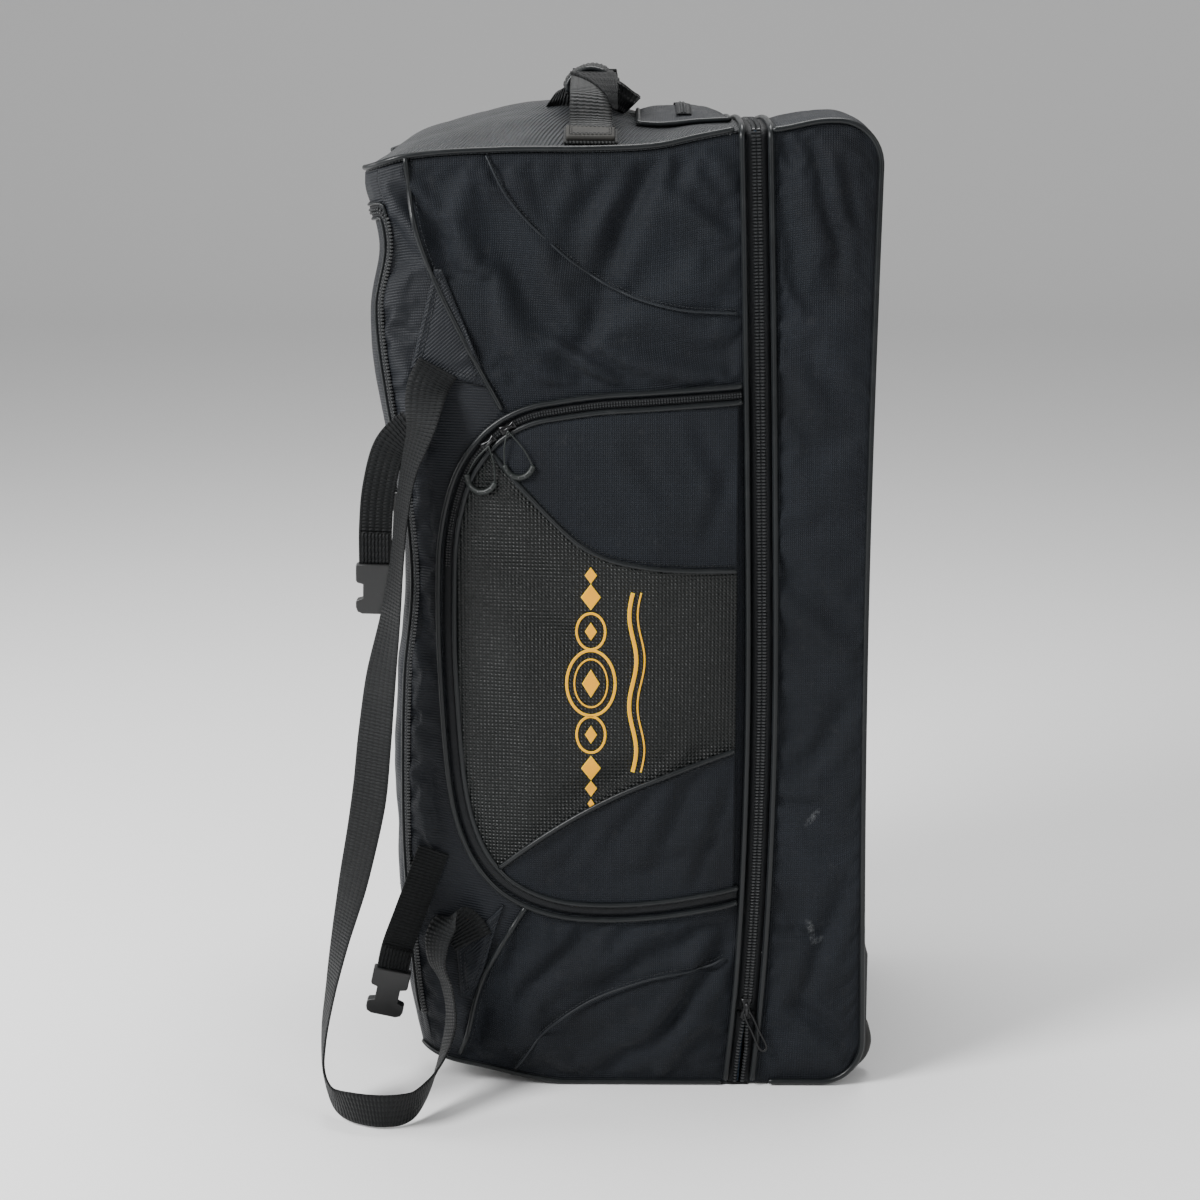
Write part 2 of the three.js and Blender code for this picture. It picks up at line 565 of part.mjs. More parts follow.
function spinePanel() {
  const grid = gridOf([-1, -0.6, 0, 0.6, 1], spinePath(HOUSING_HEIGHT + GAP), (stop, w) => {
    const y = w * HALF;
    return point(stop.x, y, stop.z).addScaledVector(stop.out, SPINE_CROWN * arch(y));
  });
  return sheet(grid, point((BASE_X + SPINE_X) / 2, 0, BAG_HEIGHT / 2));
}

// Corner panel of the base between the two wheel housings.
function cornerPanel() {
  const half = HOUSING_Y - HOUSING_WIDTH / 2 - GAP;
  const path = [
    { x: SPINE_X, z: HOUSING_HEIGHT }, { x: SPINE_X, z: (HOUSING_HEIGHT + BASE_CORNER) / 2 },
    ...[...BASE_ANGLES].reverse().map((angle) => {
      const { x, low } = baseColumn({ angle }, 0, 0);
      return { x, z: low };
    }),
    { x: SPINE_X - BASE_CORNER, z: 0 }, { x: rimX(0) + ZIP_BAND + GAP, z: 0 },
  ];
  const grid = gridOf([-1, 0, 1], path, (stop, w) => point(stop.x, w * half, stop.z));
  return sheet(grid, point((BASE_X + SPINE_X) / 2, 0, BAG_HEIGHT / 2));
}

// Closed band of the base zip, with a raised row of teeth.
function baseZip() {
  const stations = [
    ...steps(12).map((t) => ({ y: -HALF, z: mix(ZIP_OPEN_HEIGHT, topZ(RIM_X), t), out: [0, -1, 0] })),
    ...[-0.85, -0.5, 0, 0.5, 0.85].map((w) => ({ y: w * HALF, z: domeZ(RIM_X, w * HALF), out: [0, 0, 1] })),
    ...steps(10).map((t) => ({ y: HALF, z: mix(topZ(RIM_X), SEAM, t), out: [0, 1, 0] })),
  ];
  stations[12].out = [0, -1, 1];
  stations[18].out = [0, 1, 1];
  const columns = [
    { x: GAP, lift: 0 }, { x: (ZIP_BAND - TEETH_WIDTH) / 2, lift: TEETH_RISE },
    { x: (ZIP_BAND + TEETH_WIDTH) / 2, lift: TEETH_RISE }, { x: ZIP_BAND - GAP, lift: 0 },
  ];
  const layer = (level) => stations.map((s) => columns.map((c) => {
    const lift = level < 0 ? -CLOTH + GAP : c.lift;
    return point(rimX(s.z / topZ(RIM_X)) + c.x, s.y + s.out[1] * lift, s.z + s.out[2] * lift);
  }));
  return slab(layer(1), layer(-1));
}

// One of the two loose tape ends below the slider.
function openTape(side) {
  const stations = [0, 0.25, 0.5, 0.75, 1].map((t) => {
    const z = mix(ZIP_OPEN_HEIGHT - GAP, SEAM + GAP, t);
    const rim = rimX(z / topZ(RIM_X));
    const width = mix(ZIP_BAND / 2 - 2 * GAP, OPEN_TAPE_WIDTH, Math.min(1, 2 * t));
    const edge = side < 0 ? rim + GAP : rim + ZIP_BAND - GAP;
    return { z, near: edge, far: edge - side * width, lift: 3 * Math.sin(Math.PI * t) };
  });
  const layer = (thick) => stations.map((s) => [s.near, s.far].map(
    (x, k) => point(x, -HALF + CLOTH - thick - k * s.lift, s.z)));
  return slab(layer(CLOTH), layer(GAP));
}

// Rectangular block with sloped faces: size at the foot and at the face.
function block(foot, face, depth, centre, tilt = 0) {
  const corner = (size, y) => [[-1, -1], [1, -1], [1, 1], [-1, 1]].map(([a, b]) => {
    const [x, z] = [a * size[0] / 2, b * size[1] / 2];
    return point(centre.x + x * Math.cos(tilt) - z * Math.sin(tilt), centre.y + y,
      centre.z + x * Math.sin(tilt) + z * Math.cos(tilt));
  });
  const [back, front] = [corner(foot, 0), corner(face, -depth)];
  return slab([[front[0], front[1]], [front[3], front[2]]], [[back[0], back[1]], [back[3], back[2]]]);
}

const SLIDER = { width: 13, height: 20, depth: 7 };

function baseZipSlider() {
  const x = rimX(ZIP_OPEN_HEIGHT / BAG_HEIGHT) + ZIP_BAND / 2;
  const centre = point(x, -HALF - TEETH_RISE - GAP, ZIP_OPEN_HEIGHT + 2);
  return block([SLIDER.width, SLIDER.height], [SLIDER.width - 4, SLIDER.height - 5], SLIDER.depth, centre);
}

// Wire pull that hangs from the base zip's slider: its reach sideways, drop, half width and wire radius
const WIRE_PULL = { reach: 17, drop: 36, half: 3.2, splay: 1.6, lean: 2, wire: 1.2 };

function baseZipPull() {
  const { reach, drop, half, splay, lean, wire } = WIRE_PULL;
  const x = rimX(ZIP_OPEN_HEIGHT / BAG_HEIGHT) + ZIP_BAND / 2;
  const y = -HALF - TEETH_RISE - GAP - SLIDER.depth - lean;
  const start = point(x, y, ZIP_OPEN_HEIGHT);
  const end = point(x + reach, y + lean, ZIP_OPEN_HEIGHT - drop);
  const middle = mixPoint(start, end, 0.5);
  const aside = point(half, 0, splay);
  const root = start.clone().add(aside).add(point(lean, 0, -half));
  const right = [root, middle.clone().add(aside), end.clone().add(aside)];
  const tip = end.clone().add(point(splay, 0, -half - GAP));
  const last = start.clone().sub(aside).add(point(-1, 0, -1));
  const left = [end.clone().sub(aside), middle.clone().sub(aside), last];
  return tube([...right, tip, ...left], wire, 2, 4);
}

const mixPoint = (a, b, t) => a.clone().lerp(b, t);

// Outline of the side pocket, from its upper end at the base zip round the lid side to its lower
// end, moved out by a distance. Places are { x, z }.
function pocketOutline(out, flat = 6) {
  const left = RIM_X - POCKET_DEPTH - out;
  const [low, high] = [POCKET_BOTTOM - out, POCKET_TOP + out];
  const radius = POCKET_CORNER + out;
  const right = (z) => rimX(z / topZ(RIM_X)) - 2 * PIPING_RADIUS - 2;
  const drop = (x) => 0.035 * (RIM_X - x);
  const arc = (z, sign) => [0, 22.5, 45, 67.5, 90].map((degrees) => {
    const a = THREE.MathUtils.degToRad(degrees);
    const x = left + radius - radius * Math.sin(a);
    return { x, z: z + sign * (radius * (Math.cos(a) - 1)) - (sign > 0 ? drop(x) : -drop(x) * 0.6) };
  });
  const top = steps(flat).slice(0, flat).map((t) => mix(right(high), left + radius, t));
  const upper = arc(high, 1);
  const lower = arc(low, -1).reverse();
  const [a, b] = [upper[4], lower[0]];
  return [
    ...top.map((x) => ({ x, z: high - drop(x) })), ...upper,
    ...steps(5).slice(1, 5).map((t) => ({ x: mix(a.x, b.x, t), z: mix(a.z, b.z, t) })), ...lower,
    ...top.reverse().map((x) => ({ x, z: low + 0.6 * drop(x) })),
  ];
}

const POCKET_UPPER_SEAM = [[0, 0.674], [0.35, 0.687], [0.55, 0.724], [0.75, 0.83], [0.93, 0.945]];
const POCKET_LOWER_SEAM = [[0, 0.325], [0.2, 0.288], [0.45, 0.232], [0.7, 0.15], [0.92, 0.05]];

// Panels of the pocket: for each column the heights of its lower and upper edge and of the seams.
function pocketColumn(x) {
  const inset = POCKET_ZIP_WIDTH / 2 + GAP;
  const outline = pocketOutline(-inset, 12);
  const half = outline.length / 2;
  const find = (list) => {
    const k = list.findIndex((p, i) => i + 1 < list.length && list[i + 1].x <= x);
    if (k < 0) return list[list.length - 1].z;
    const t = THREE.MathUtils.clamp((list[k].x - x) / (list[k].x - list[k + 1].x || 1), 0, 1);
    return mix(list[k].z, list[k + 1].z, t);
  };
  const high = find(outline.slice(0, Math.ceil(half)));
  const low = find(outline.slice(Math.floor(half)).reverse());
  const along = (RIM_X - x) / POCKET_DEPTH;
  const height = POCKET_TOP - POCKET_BOTTOM;
  const seam = (rows) => POCKET_BOTTOM + height * follow(rows, along);
  return { low, high, lowSeam: seam(POCKET_LOWER_SEAM), highSeam: seam(POCKET_UPPER_SEAM) };
}

function pocketPoint(x, z, lift) {
  const { low, high } = pocketColumn(x);
  const along = (RIM_X - x) / POCKET_DEPTH;
  const rise = POCKET_RISE * Math.min(1, 4 * Math.max(0, 1 - along)) ** 0.6
    * Math.min(1, 0.35 + 2.2 * along) * bump((z - low) / (high - low), 6);
  return onSide(x, z, lift + GAP + rise);
}

function pocketPanel(xs, rows, range) {
  const layer = (lift) => xs.map((x) => {
    const [a, b] = range(pocketColumn(x));
    return steps(rows).map((t) => pocketPoint(x, mix(a, b, t), lift));
  });
  return slab(layer(CLOTH), layer(0));
}

function pocketXs(from, to, count) {
  return steps(count).map((t) => mix(from, to, t));
}

const POCKET_RIGHT = RIM_X - 6;
const POCKET_LEFT = RIM_X - POCKET_DEPTH + POCKET_ZIP_WIDTH / 2 + GAP;

function pocketMiddle() {
  const round = [1, 0.8, 0.62, 0.45, 0.3, 0.18, 0.08, 0.02].map((t) => POCKET_LEFT + t * POCKET_CORNER);
  const xs = [...pocketXs(POCKET_RIGHT, round[0], 6).slice(0, 6), ...round];
  return pocketPanel(xs, 6, (c) => [
    Math.max(c.low, Math.min(c.lowSeam, c.high)), Math.min(c.high, Math.max(c.highSeam, c.low))]);
}

// Corner panels end where the seam meets the pocket's edge.
function seamEnd(upper) {
  let x = POCKET_RIGHT;
  while (x > POCKET_LEFT) {
    const c = pocketColumn(x);
    const height = upper ? c.high - c.highSeam : c.lowSeam - c.low;
    if (height < 6) break;
    x -= 2;
  }
  return x + 2;
}

function pocketCorner(upper) {
  const xs = pocketXs(POCKET_RIGHT, seamEnd(upper), 7);
  const seamGap = 3 * GAP;
  return pocketPanel(xs, 4, (c) => (upper ? [c.highSeam + seamGap, c.high] : [c.low, c.lowSeam - seamGap]));
}

function pocketZip() {
  const reach = POCKET_ZIP_WIDTH / 2;
  const inner = pocketOutline(-reach + GAP / 2);
  const outer = pocketOutline(reach);
  const layer = (lift) => inner.map((p, i) => [
    onSide(p.x, p.z, lift), onSide(outer[i].x, outer[i].z, lift)]);
  return slab(layer(GAP + POCKET_ZIP_THICK), layer(GAP));
}

function pocketPiping() {
  const outline = pocketOutline(POCKET_ZIP_WIDTH / 2 + PIPING_RADIUS + 4 * GAP, 6);
  return tube(outline.map((p) => onSide(p.x, p.z, PIPING_RADIUS + 2 * GAP)), PIPING_RADIUS);
}

// Slider of the pocket zip and its cord pull with a curved grip.
const POCKET_SLIDER = { width: 14, height: 9, depth: 4.5 };
const PULL_RADIUS = 2.2;
const PULLS = {
  right: { along: 0.81, hang: 44, aside: 10 },
  left: { along: 0.875, hang: 44, aside: -6 },
};

function pocketSliderPlace({ along }) {
  const x = RIM_X - along * POCKET_DEPTH;
  const list = pocketOutline(0, 12).slice(0, 17);
  const k = Math.max(1, list.findIndex((p) => p.x <= x));
  const [a, b] = [list[k - 1], list[k]];
  const t = (a.x - x) / (a.x - b.x);
  return { x, z: mix(a.z, b.z, t), tilt: Math.atan2(b.z - a.z, b.x - a.x) };
}

function pocketSlider(pull) {
  const { x, z, tilt } = pocketSliderPlace(pull);
  const centre = onSide(x, z, GAP * 2 + POCKET_ZIP_THICK);
  const { width, height, depth } = POCKET_SLIDER;
  return block([width, height], [width - 4, height - 3], depth, centre, tilt);
}

function pocketPull(pull) {
  const { x, z } = pocketSliderPlace(pull);
  const root = 5 * GAP + POCKET_ZIP_THICK + POCKET_SLIDER.depth + PULL_RADIUS;
  const low = z - pull.hang;
  const middle = x + pull.aside;
  const lying = (px, pz) => pocketPoint(px, pz, CLOTH + PULL_RADIUS + 2 * GAP);
  return tube([
    onSide(x + 2, z + 1, root), lying(middle + 9, low + 14), lying(middle + 13, low + 5),
    lying(middle, low), lying(middle - 13, low + 5), lying(middle - 9, low + 14),
    onSide(x - 2, z + 1, root),
  ], PULL_RADIUS, 2, 4);
}

// Piping rings along the two edges of the base zip, and piping of the outer edges.
function rimPiping(offset, crown) {
  const out = PIPING_RADIUS + GAP;
  const x = (z) => rimX(z / topZ(RIM_X)) + offset;
  const high = topZ(RIM_X);
  const side = (sign) => steps(7).map((t) => {
    const z = mix(8, high - 14, t);
    return point(x(z), sign * (HALF + out + crown * bump(t, 4)), z);
  });
  const corner = (sign) => [
    point(x(high), sign * (HALF + out + GAP), high - 3),
    point(x(high), sign * (HALF + 0.75 * out), high + 0.75 * out + 0.6),
    point(x(high), sign * (HALF - 4), high + out + 1.6),
  ];
  const over = [-0.8, -0.4, 0, 0.4, 0.8].map((w) => {
    const y = w * HALF;
    return point(x(high), y, Math.max(domeZ(RIM_X, y), domeZ(x(high) - PIPING_RADIUS, y)) + out);
  });
  return tube([...side(-1), ...corner(-1), ...over, ...corner(1).reverse(), ...side(1).reverse()],
    PIPING_RADIUS);
}

function topPiping(sign) {
  const out = PIPING_RADIUS * 0.71 + GAP;
  const from = RIM_X - 3 * PIPING_RADIUS - 2;
  const xs = endColumns(1, 8, from).slice(0, -1);
  return tube(xs.map((x) => {
    const half = endHalf(x, 1);
    return point(x, sign * (half + out), topZ(x) + out + 0.7);
  }), PIPING_RADIUS);
}

function basePiping(sign) {
  const out = PIPING_RADIUS * 0.71 + GAP / 2;
  const stops = spinePath(HOUSING_HEIGHT + 4).filter((s) => s.x > BASE_X + 3 * PIPING_RADIUS);
  const corner = [...BASE_ANGLES].reverse().map((angle) => {
    const a = THREE.MathUtils.degToRad(angle);
    return {
      x: SPINE_X - BASE_CORNER + (BASE_CORNER + HOUSING_PROUD) * Math.sin(a),
      z: BASE_CORNER - BASE_CORNER * Math.cos(a) + PIPING_RADIUS * 1.6,
      out: point(Math.sin(a), 0, 0),
    };
  });
  const places = [
    ...stops.map((s) => point(s.x, sign * (HALF + out), s.z).addScaledVector(s.out, out)),
    ...corner.map((s) => point(s.x, sign * (HALF + out + PIPING_RADIUS), s.z)),
    point(BASE_X + 4 * PIPING_RADIUS, sign * (HALF + out + PIPING_RADIUS), PIPING_RADIUS * 1.6),
  ];
  return tube(places, PIPING_RADIUS);
}

// Carry handle and compression straps
function routePlace(row, side, width) {
  const [turn, tilt] = [row.turn, row.tilt].map(THREE.MathUtils.degToRad);
  const flat = Math.cos(tilt);
  const across = point(flat * Math.cos(turn), -side * flat * Math.sin(turn), Math.sin(tilt));
  const stand = GAP + (width / 2) * Math.abs(Math.sin(tilt)) + WEBBING_THICK;
  return {
    at: point(RIM_X - row.along * MAIN_DEPTH, side * (HALF + row.out * BAG_WIDTH),
      stand + row.up * (BAG_HEIGHT - stand)),
    across,
  };
}

function carryHandle(side) {
  const last = HANDLE_ROUTE.length - 1;
  const shift = side < 0 ? 0 : FAR_HANDLE_SHIFT;
  const stations = HANDLE_ROUTE.map((row, i) => routePlace(
    { ...row, along: row.along - shift * Math.sin(Math.PI * i / last) ** 2 }, side, WEBBING));
  return ribbon(stations, WEBBING, WEBBING_THICK, 1);
}

function compressionStrap(route, side) {
  return ribbon(route.map((row) => routePlace(row, side, STRAP_WIDTH)), STRAP_WIDTH, WEBBING_THICK, 2);
}

// Half outlines of the buckles as across, along in mm: the socket's side window and the plug's prongs
const SOCKET_CUT = 6;
const SOCKET_WINDOW = [[10.5, 16], [14.5, 18], [14.5, 32], [10.5, 34]];
const PLUG_PRONG = [[17.5, 0], [17.5, 14], [14.5, 20], [15.5, 46], [9.5, 46], [8.5, 22], [5, 20], [4, 42]];
const PLUG_SHARE = 0.7;

// Buckle half at the end of a compression strap: a socket on the near side, a plug on the far side.
function buckle(route, side) {
  const end = routePlace(route[route.length - 1], side, STRAP_WIDTH).at;
  const before = routePlace(route[route.length - 2], side, STRAP_WIDTH).at;
  const direction = end.clone().sub(before).normalize();
  const across = point(1, 0, 0);
  const out = across.clone().cross(direction).normalize();
  const frame = new THREE.Matrix4().makeBasis(direction.clone().cross(out), direction, out);
  const [w, l, cut] = [BUCKLE_WIDTH / 2, BUCKLE_LENGTH, SOCKET_CUT];
  const half = side < 0 ? [[w, 0], [w, l - cut], [w - cut, l]] : PLUG_PRONG;
  const outline = [...half, ...half.map(([x, y]) => [-x, y]).reverse()];
  const flat = (rows, sign) => rows.map(([x, y]) => new THREE.Vector2(sign * x, y));
  const shape = new THREE.Shape(flat(outline, 1));
  if (side < 0) {
    for (const sign of [-1, 1]) {
      shape.holes.push(new THREE.Path(flat(SOCKET_WINDOW, sign)));
    }
  }
  const thick = side < 0 ? BUCKLE_THICK : BUCKLE_THICK * PLUG_SHARE;
  const body = new THREE.ExtrudeGeometry(shape, { depth: thick, bevelEnabled: false });
  body.translate(0, 0, -thick / 2);
  body.applyMatrix4(frame);
  const place = end.clone().addScaledVector(direction, GAP);
  body.translate(place.x, place.y, place.z);
  return body;
}

function anchorPatch(corners, side) {
  const at = (u, v, lift) => {
    const lerp = (a, b, t) => [mix(a[0], b[0], t), mix(a[1], b[1], t)];
    const [a, z] = lerp(lerp(corners[0], corners[1], v), lerp(corners[3], corners[2], v), u);
    return onSide(RIM_X - a * MAIN_DEPTH, z * BAG_HEIGHT, lift, side);
  };
  const layer = (lift) => gridOf(steps(2), steps(3), (u, v) => at(u, v, lift));
  return slab(layer(GAP + PATCH_THICK), layer(GAP));
}

// Haul handle over the top end
const HAUL_X = RIM_X - 0.42 * MAIN_DEPTH;
const haulTop = () => domeZ(HAUL_X, 0) + HAUL_CLEAR;

function haulRoute() {
  const row = (w, lift) => point(HAUL_X, w * HALF, domeZ(HAUL_X, w * HALF) + lift);
  const flat = GRIP_LENGTH / BAG_WIDTH;
  const foot = PATCH_THICK + 4 * GAP + WEBBING_THICK / 2;
  const high = (w) => point(HAUL_X, w * HALF, haulTop());
  const rising = mixPoint(row(-0.66, foot), high(-0.66), 0.6);
  const near = [row(-0.9, foot), row(-0.8, foot), row(-0.74, foot + 3), rising, high(-flat - 0.02)];
  const far = near.map((p) => point(p.x, -p.y, p.z)).reverse();
  return [...near, high(-flat / 2), high(flat / 2), ...far];
}

function haulStrap() {
  return ribbon(haulRoute().map((at) => ({ at, across: point(1, 0, 0) })), WEBBING, WEBBING_THICK, 2);
}

function haulPatch(side) {
  const layer = (lift) => [-1, 0, 1].map((a) => [0.94, 0.85, 0.76].map((w) => {
    const x = HAUL_X + a * HAUL_PATCH_WIDTH / 2;
    return point(x, side * w * HALF, domeZ(x, w * HALF) + lift);
  }));
  return slab(layer(GAP + PATCH_THICK), layer(GAP));
}

// Grip: a padded wrap folded over the strap, open underneath.
function haulGrip() {
  const w = GRIP_WIDTH / 2;
  const top = haulTop() + WEBBING_THICK / 2 + GAP;
  const profile = [
    { x: -w - 4, z: -26 }, { x: -w, z: -8 }, { x: -WEBBING / 2 - 2, z: 0 }, { x: 0, z: 2 },
    { x: WEBBING / 2 + 2, z: 0 }, { x: w, z: -8 }, { x: w + 4, z: -24 },
  ];
  const ys = steps(4).map((t) => mix(-GRIP_LENGTH / 2, GRIP_LENGTH / 2, t));
  const lower = ys.map((y) => profile.map((p) => point(HAUL_X + p.x, y, top + p.z)));
  const raised = moved(lower, GRIP_THICK);
  return slab(raised[0][3].z > lower[0][3].z ? raised : moved(lower, -GRIP_THICK), lower);
}

// End pocket on the top end, close to the base zip
const END_POCKET_X = RIM_X - 14;

function endPocketPlace(t, w, lift) {
  const x = END_POCKET_X - t * END_POCKET_DEPTH;
  const y = w * END_POCKET_WIDTH / 2;
  return point(x, y, domeZ(x, y) + lift + END_POCKET_RISE * bump(t, 3) * bump((w + 1) / 2, 4));
}

function endPocket() {
  const columns = [-1, -0.85, -0.5, 0, 0.5, 0.85, 1];
  const layer = (lift) => gridOf(steps(5), columns, (w, t) => endPocketPlace(t, w, lift));
  return slab(layer(GAP + CLOTH), layer(GAP));
}

function endPocketZip() {
  const ws = [-0.86, -0.5, 0, 0.5, 0.86];
  const layer = (lift, reach) => ws.map((w) => [-1, 1].map((s) => endPocketPlace(0.5 + s * reach, w, lift)));
  return slab(layer(2 * GAP + CLOTH + 2.6, 0.045), layer(2 * GAP + CLOTH + 0.3, 0.06));
}

// Wheels
function toManifold(geometry) {
  const bare = geometry.clone();
  bare.deleteAttribute('normal');
  bare.deleteAttribute('uv');
  const merged = mergeVertices(bare, 1e-4);
  return new wasm.Manifold(new wasm.Mesh({
    numProp: 3,
    vertProperties: merged.attributes.position.array,
    triVerts: new Uint32Array(merged.index.array),
  }));
}

function fromManifold(manifold) {
  const mesh = manifold.getMesh();
  const geometry = new THREE.BufferGeometry();
  geometry.setAttribute('position', new THREE.BufferAttribute(new Float32Array(mesh.vertProperties), 3));
  geometry.setIndex(new THREE.BufferAttribute(new Uint32Array(mesh.triVerts), 1));
  geometry.computeVertexNormals();
  return geometry;
}

const acrossY = (geometry) => geometry.rotateX(Math.PI / 2);

function roundBar(radius, length, sides, x, y, z) {
  return new THREE.CylinderGeometry(radius, radius, length, sides).translate(x, y, z);
}

// Moulded corner shell round the wheel, with cheeks that carry the axle.
function wheelHousing(side) {
  const slot = WHEEL_RADIUS + WHEEL_CLEAR;
  const shell = slot + HOUSING_WALL;
  const right = SPINE_X + HOUSING_PROUD;
  const start = rimX(0) + ZIP_BAND + GAP;
  const reachX = Math.sqrt(shell ** 2 - (HOUSING_WALL - WHEEL_Z) ** 2);
  const inner = SPINE_X - HOUSING_WALL;
  const reachZ = Math.sqrt(shell ** 2 - (inner - WHEEL_X) ** 2);
  const shape = new THREE.Shape();
  shape.moveTo(start, 0);
  shape.lineTo(right - BASE_CORNER, 0);
  shape.absarc(right - BASE_CORNER, BASE_CORNER, BASE_CORNER, -Math.PI / 2, 0, false);
  shape.lineTo(right, HOUSING_HEIGHT);
  shape.lineTo(inner, HOUSING_HEIGHT);
  shape.lineTo(inner, WHEEL_Z + reachZ);
  shape.absarc(WHEEL_X, WHEEL_Z, shell, Math.atan2(reachZ, inner - WHEEL_X),
    Math.atan2(HOUSING_WALL - WHEEL_Z, -reachX), false);
  shape.lineTo(start, HOUSING_WALL);
  const options = { depth: HOUSING_WIDTH, bevelEnabled: false, curveSegments: 5 };
  const body = new THREE.ExtrudeGeometry(shape, options);
  acrossY(body).translate(0, side * HOUSING_Y + HOUSING_WIDTH / 2, 0);
  const y = side * HOUSING_Y;
  const wheelSlot = roundBar(slot, SLOT_WIDTH, 18, WHEEL_X, y, WHEEL_Z);
  const bore = roundBar(AXLE_RADIUS + FIT, HOUSING_WIDTH + 2, 10, WHEEL_X, y, WHEEL_Z);
  return fromManifold(toManifold(body).subtract(toManifold(wheelSlot)).subtract(toManifold(bore)));
}

function axle() {
  return new THREE.CylinderGeometry(AXLE_RADIUS, AXLE_RADIUS, HOUSING_WIDTH - 2, 10);
}

function lathe(profile, sides) {
  return new THREE.LatheGeometry(profile.map(([r, y]) => new THREE.Vector2(r, y)), sides);
}

function hub() {
  const half = WHEEL_WIDTH / 2;
  const bore = AXLE_RADIUS + FIT;
  return lathe([
    [bore, -half - 1], [bore + 4, -half - 1], [bore + 5, -half + 4], [HUB_RADIUS - 3, -half + 4],
    [HUB_RADIUS, -half + 1], [HUB_RADIUS, half - 1], [HUB_RADIUS - 3, half - 4], [bore + 5, half - 4],
    [bore + 4, half + 1], [bore, half + 1], [bore, -half - 1],
  ], WHEEL_SIDES);
}

function tyre() {
  const half = WHEEL_WIDTH / 2;
  const inner = HUB_RADIUS + FIT;
  return lathe([
    [inner, -half + 1], [WHEEL_RADIUS - 4, -half], [WHEEL_RADIUS, -half + 5],
    [WHEEL_RADIUS, half - 5], [WHEEL_RADIUS - 4, half], [inner, half - 1], [inner, -half + 1],
  ], WHEEL_SIDES);
}

// The bag as a whole
const bag = new THREE.Group();

function add(name, geometry, look, parent = bag) {
  const mesh = new THREE.Mesh(geometry, new THREE.MeshStandardMaterial(LOOKS[look]));
  mesh.name = name;
  parent.add(mesh);
  return mesh;
}

add('main_near_panel', mainSidePanel(-1), 'ripstop');
add('main_far_panel', mainSidePanel(1), 'ripstop');
add('top_end_panel', topEndPanel(), 'end_cloth');
add('bottom_end_panel', bottomEndPanel(), 'coated');
add('lid_panel', lidPanel(), 'ripstop');
add('lid_zip', lidZip(), 'zip');
add('divider', divider(), 'ripstop');
add('base_near_panel', baseSidePanel(-1), 'ripstop');
add('base_far_panel', baseSidePanel(1), 'ripstop');
add('base_spine_panel', spinePanel(), 'ripstop');
add('base_corner_panel', cornerPanel(), 'coated');
add('base_zip', baseZip(), 'zip');
add('base_zip_tape_main', openTape(-1), 'zip');
add('base_zip_tape_base', openTape(1), 'zip');
add('base_zip_slider', baseZipSlider(), 'zip');
add('base_zip_pull', baseZipPull(), 'steel');
add('pocket_middle_panel', pocketMiddle(), 'coated');
add('pocket_upper_panel', pocketCorner(true), 'ripstop');
add('pocket_lower_panel', pocketCorner(false), 'ripstop');
add('pocket_zip', pocketZip(), 'zip');
add('pocket_piping', pocketPiping(), 'piping');
for (const [name, pull] of Object.entries(PULLS)) {
  add(`pocket_slider_${name}`, pocketSlider(pull), 'zip');
  add(`pocket_pull_${name}`, pocketPull(pull), 'moulded');
}
const mainSlope = SIDE_CROWN * bump(2 * PIPING_RADIUS / (MAIN_DEPTH - LID_CORNER), 4);
const baseSlope = BASE_CROWN * bump(2 * PIPING_RADIUS / BASE_DEPTH, 3);
add('rim_piping_main', rimPiping(-PIPING_RADIUS, mainSlope), 'piping');
add('rim_piping_base', rimPiping(ZIP_BAND + PIPING_RADIUS, baseSlope), 'piping');
add('end_pocket', endPocket(), 'end_cloth');
add('end_pocket_zip', endPocketZip(), 'zip');
add('haul_strap', haulStrap(), 'webbing');
add('haul_grip', haulGrip(), 'webbing');

for (const [name, side] of [['near', -1], ['far', 1]]) {
  add(`top_piping_${name}`, topPiping(side), 'piping');
  add(`base_piping_${name}`, basePiping(side), 'piping');
  add(`haul_patch_${name}`, haulPatch(side), 'webbing');
  add(`handle_patch_upper_${name}`, anchorPatch(UPPER_PATCH, side), 'ripstop');
  add(`handle_patch_lower_${name}`, anchorPatch(LOWER_PATCH, side), 'ripstop');
  add(`carry_handle_${name}`, carryHandle(side), 'webbing');
  for (const [level, route] of [['upper', UPPER_STRAP_ROUTE], ['lower', LOWER_STRAP_ROUTE]]) {
    add(`strap_${level}_${name}`, compressionStrap(route, side), 'webbing');
    add(`buckle_${level}_${name}`, buckle(route, side), 'moulded');
  }
  add(`wheel_housing_${name}`, wheelHousing(side), 'moulded');
  const wheel = new THREE.Group();
  wheel.position.set(WHEEL_X, side * HOUSING_Y, WHEEL_Z);
  bag.add(wheel);
  add(`wheel_axle_${name}`, axle(), 'steel', wheel);
  add(`wheel_hub_${name}`, hub(), 'moulded', wheel);
  add(`wheel_tyre_${name}`, tyre(), 'tyre', wheel);
}

export default bag;
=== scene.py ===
import math

import bpy
import numpy as np
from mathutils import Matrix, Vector, noise


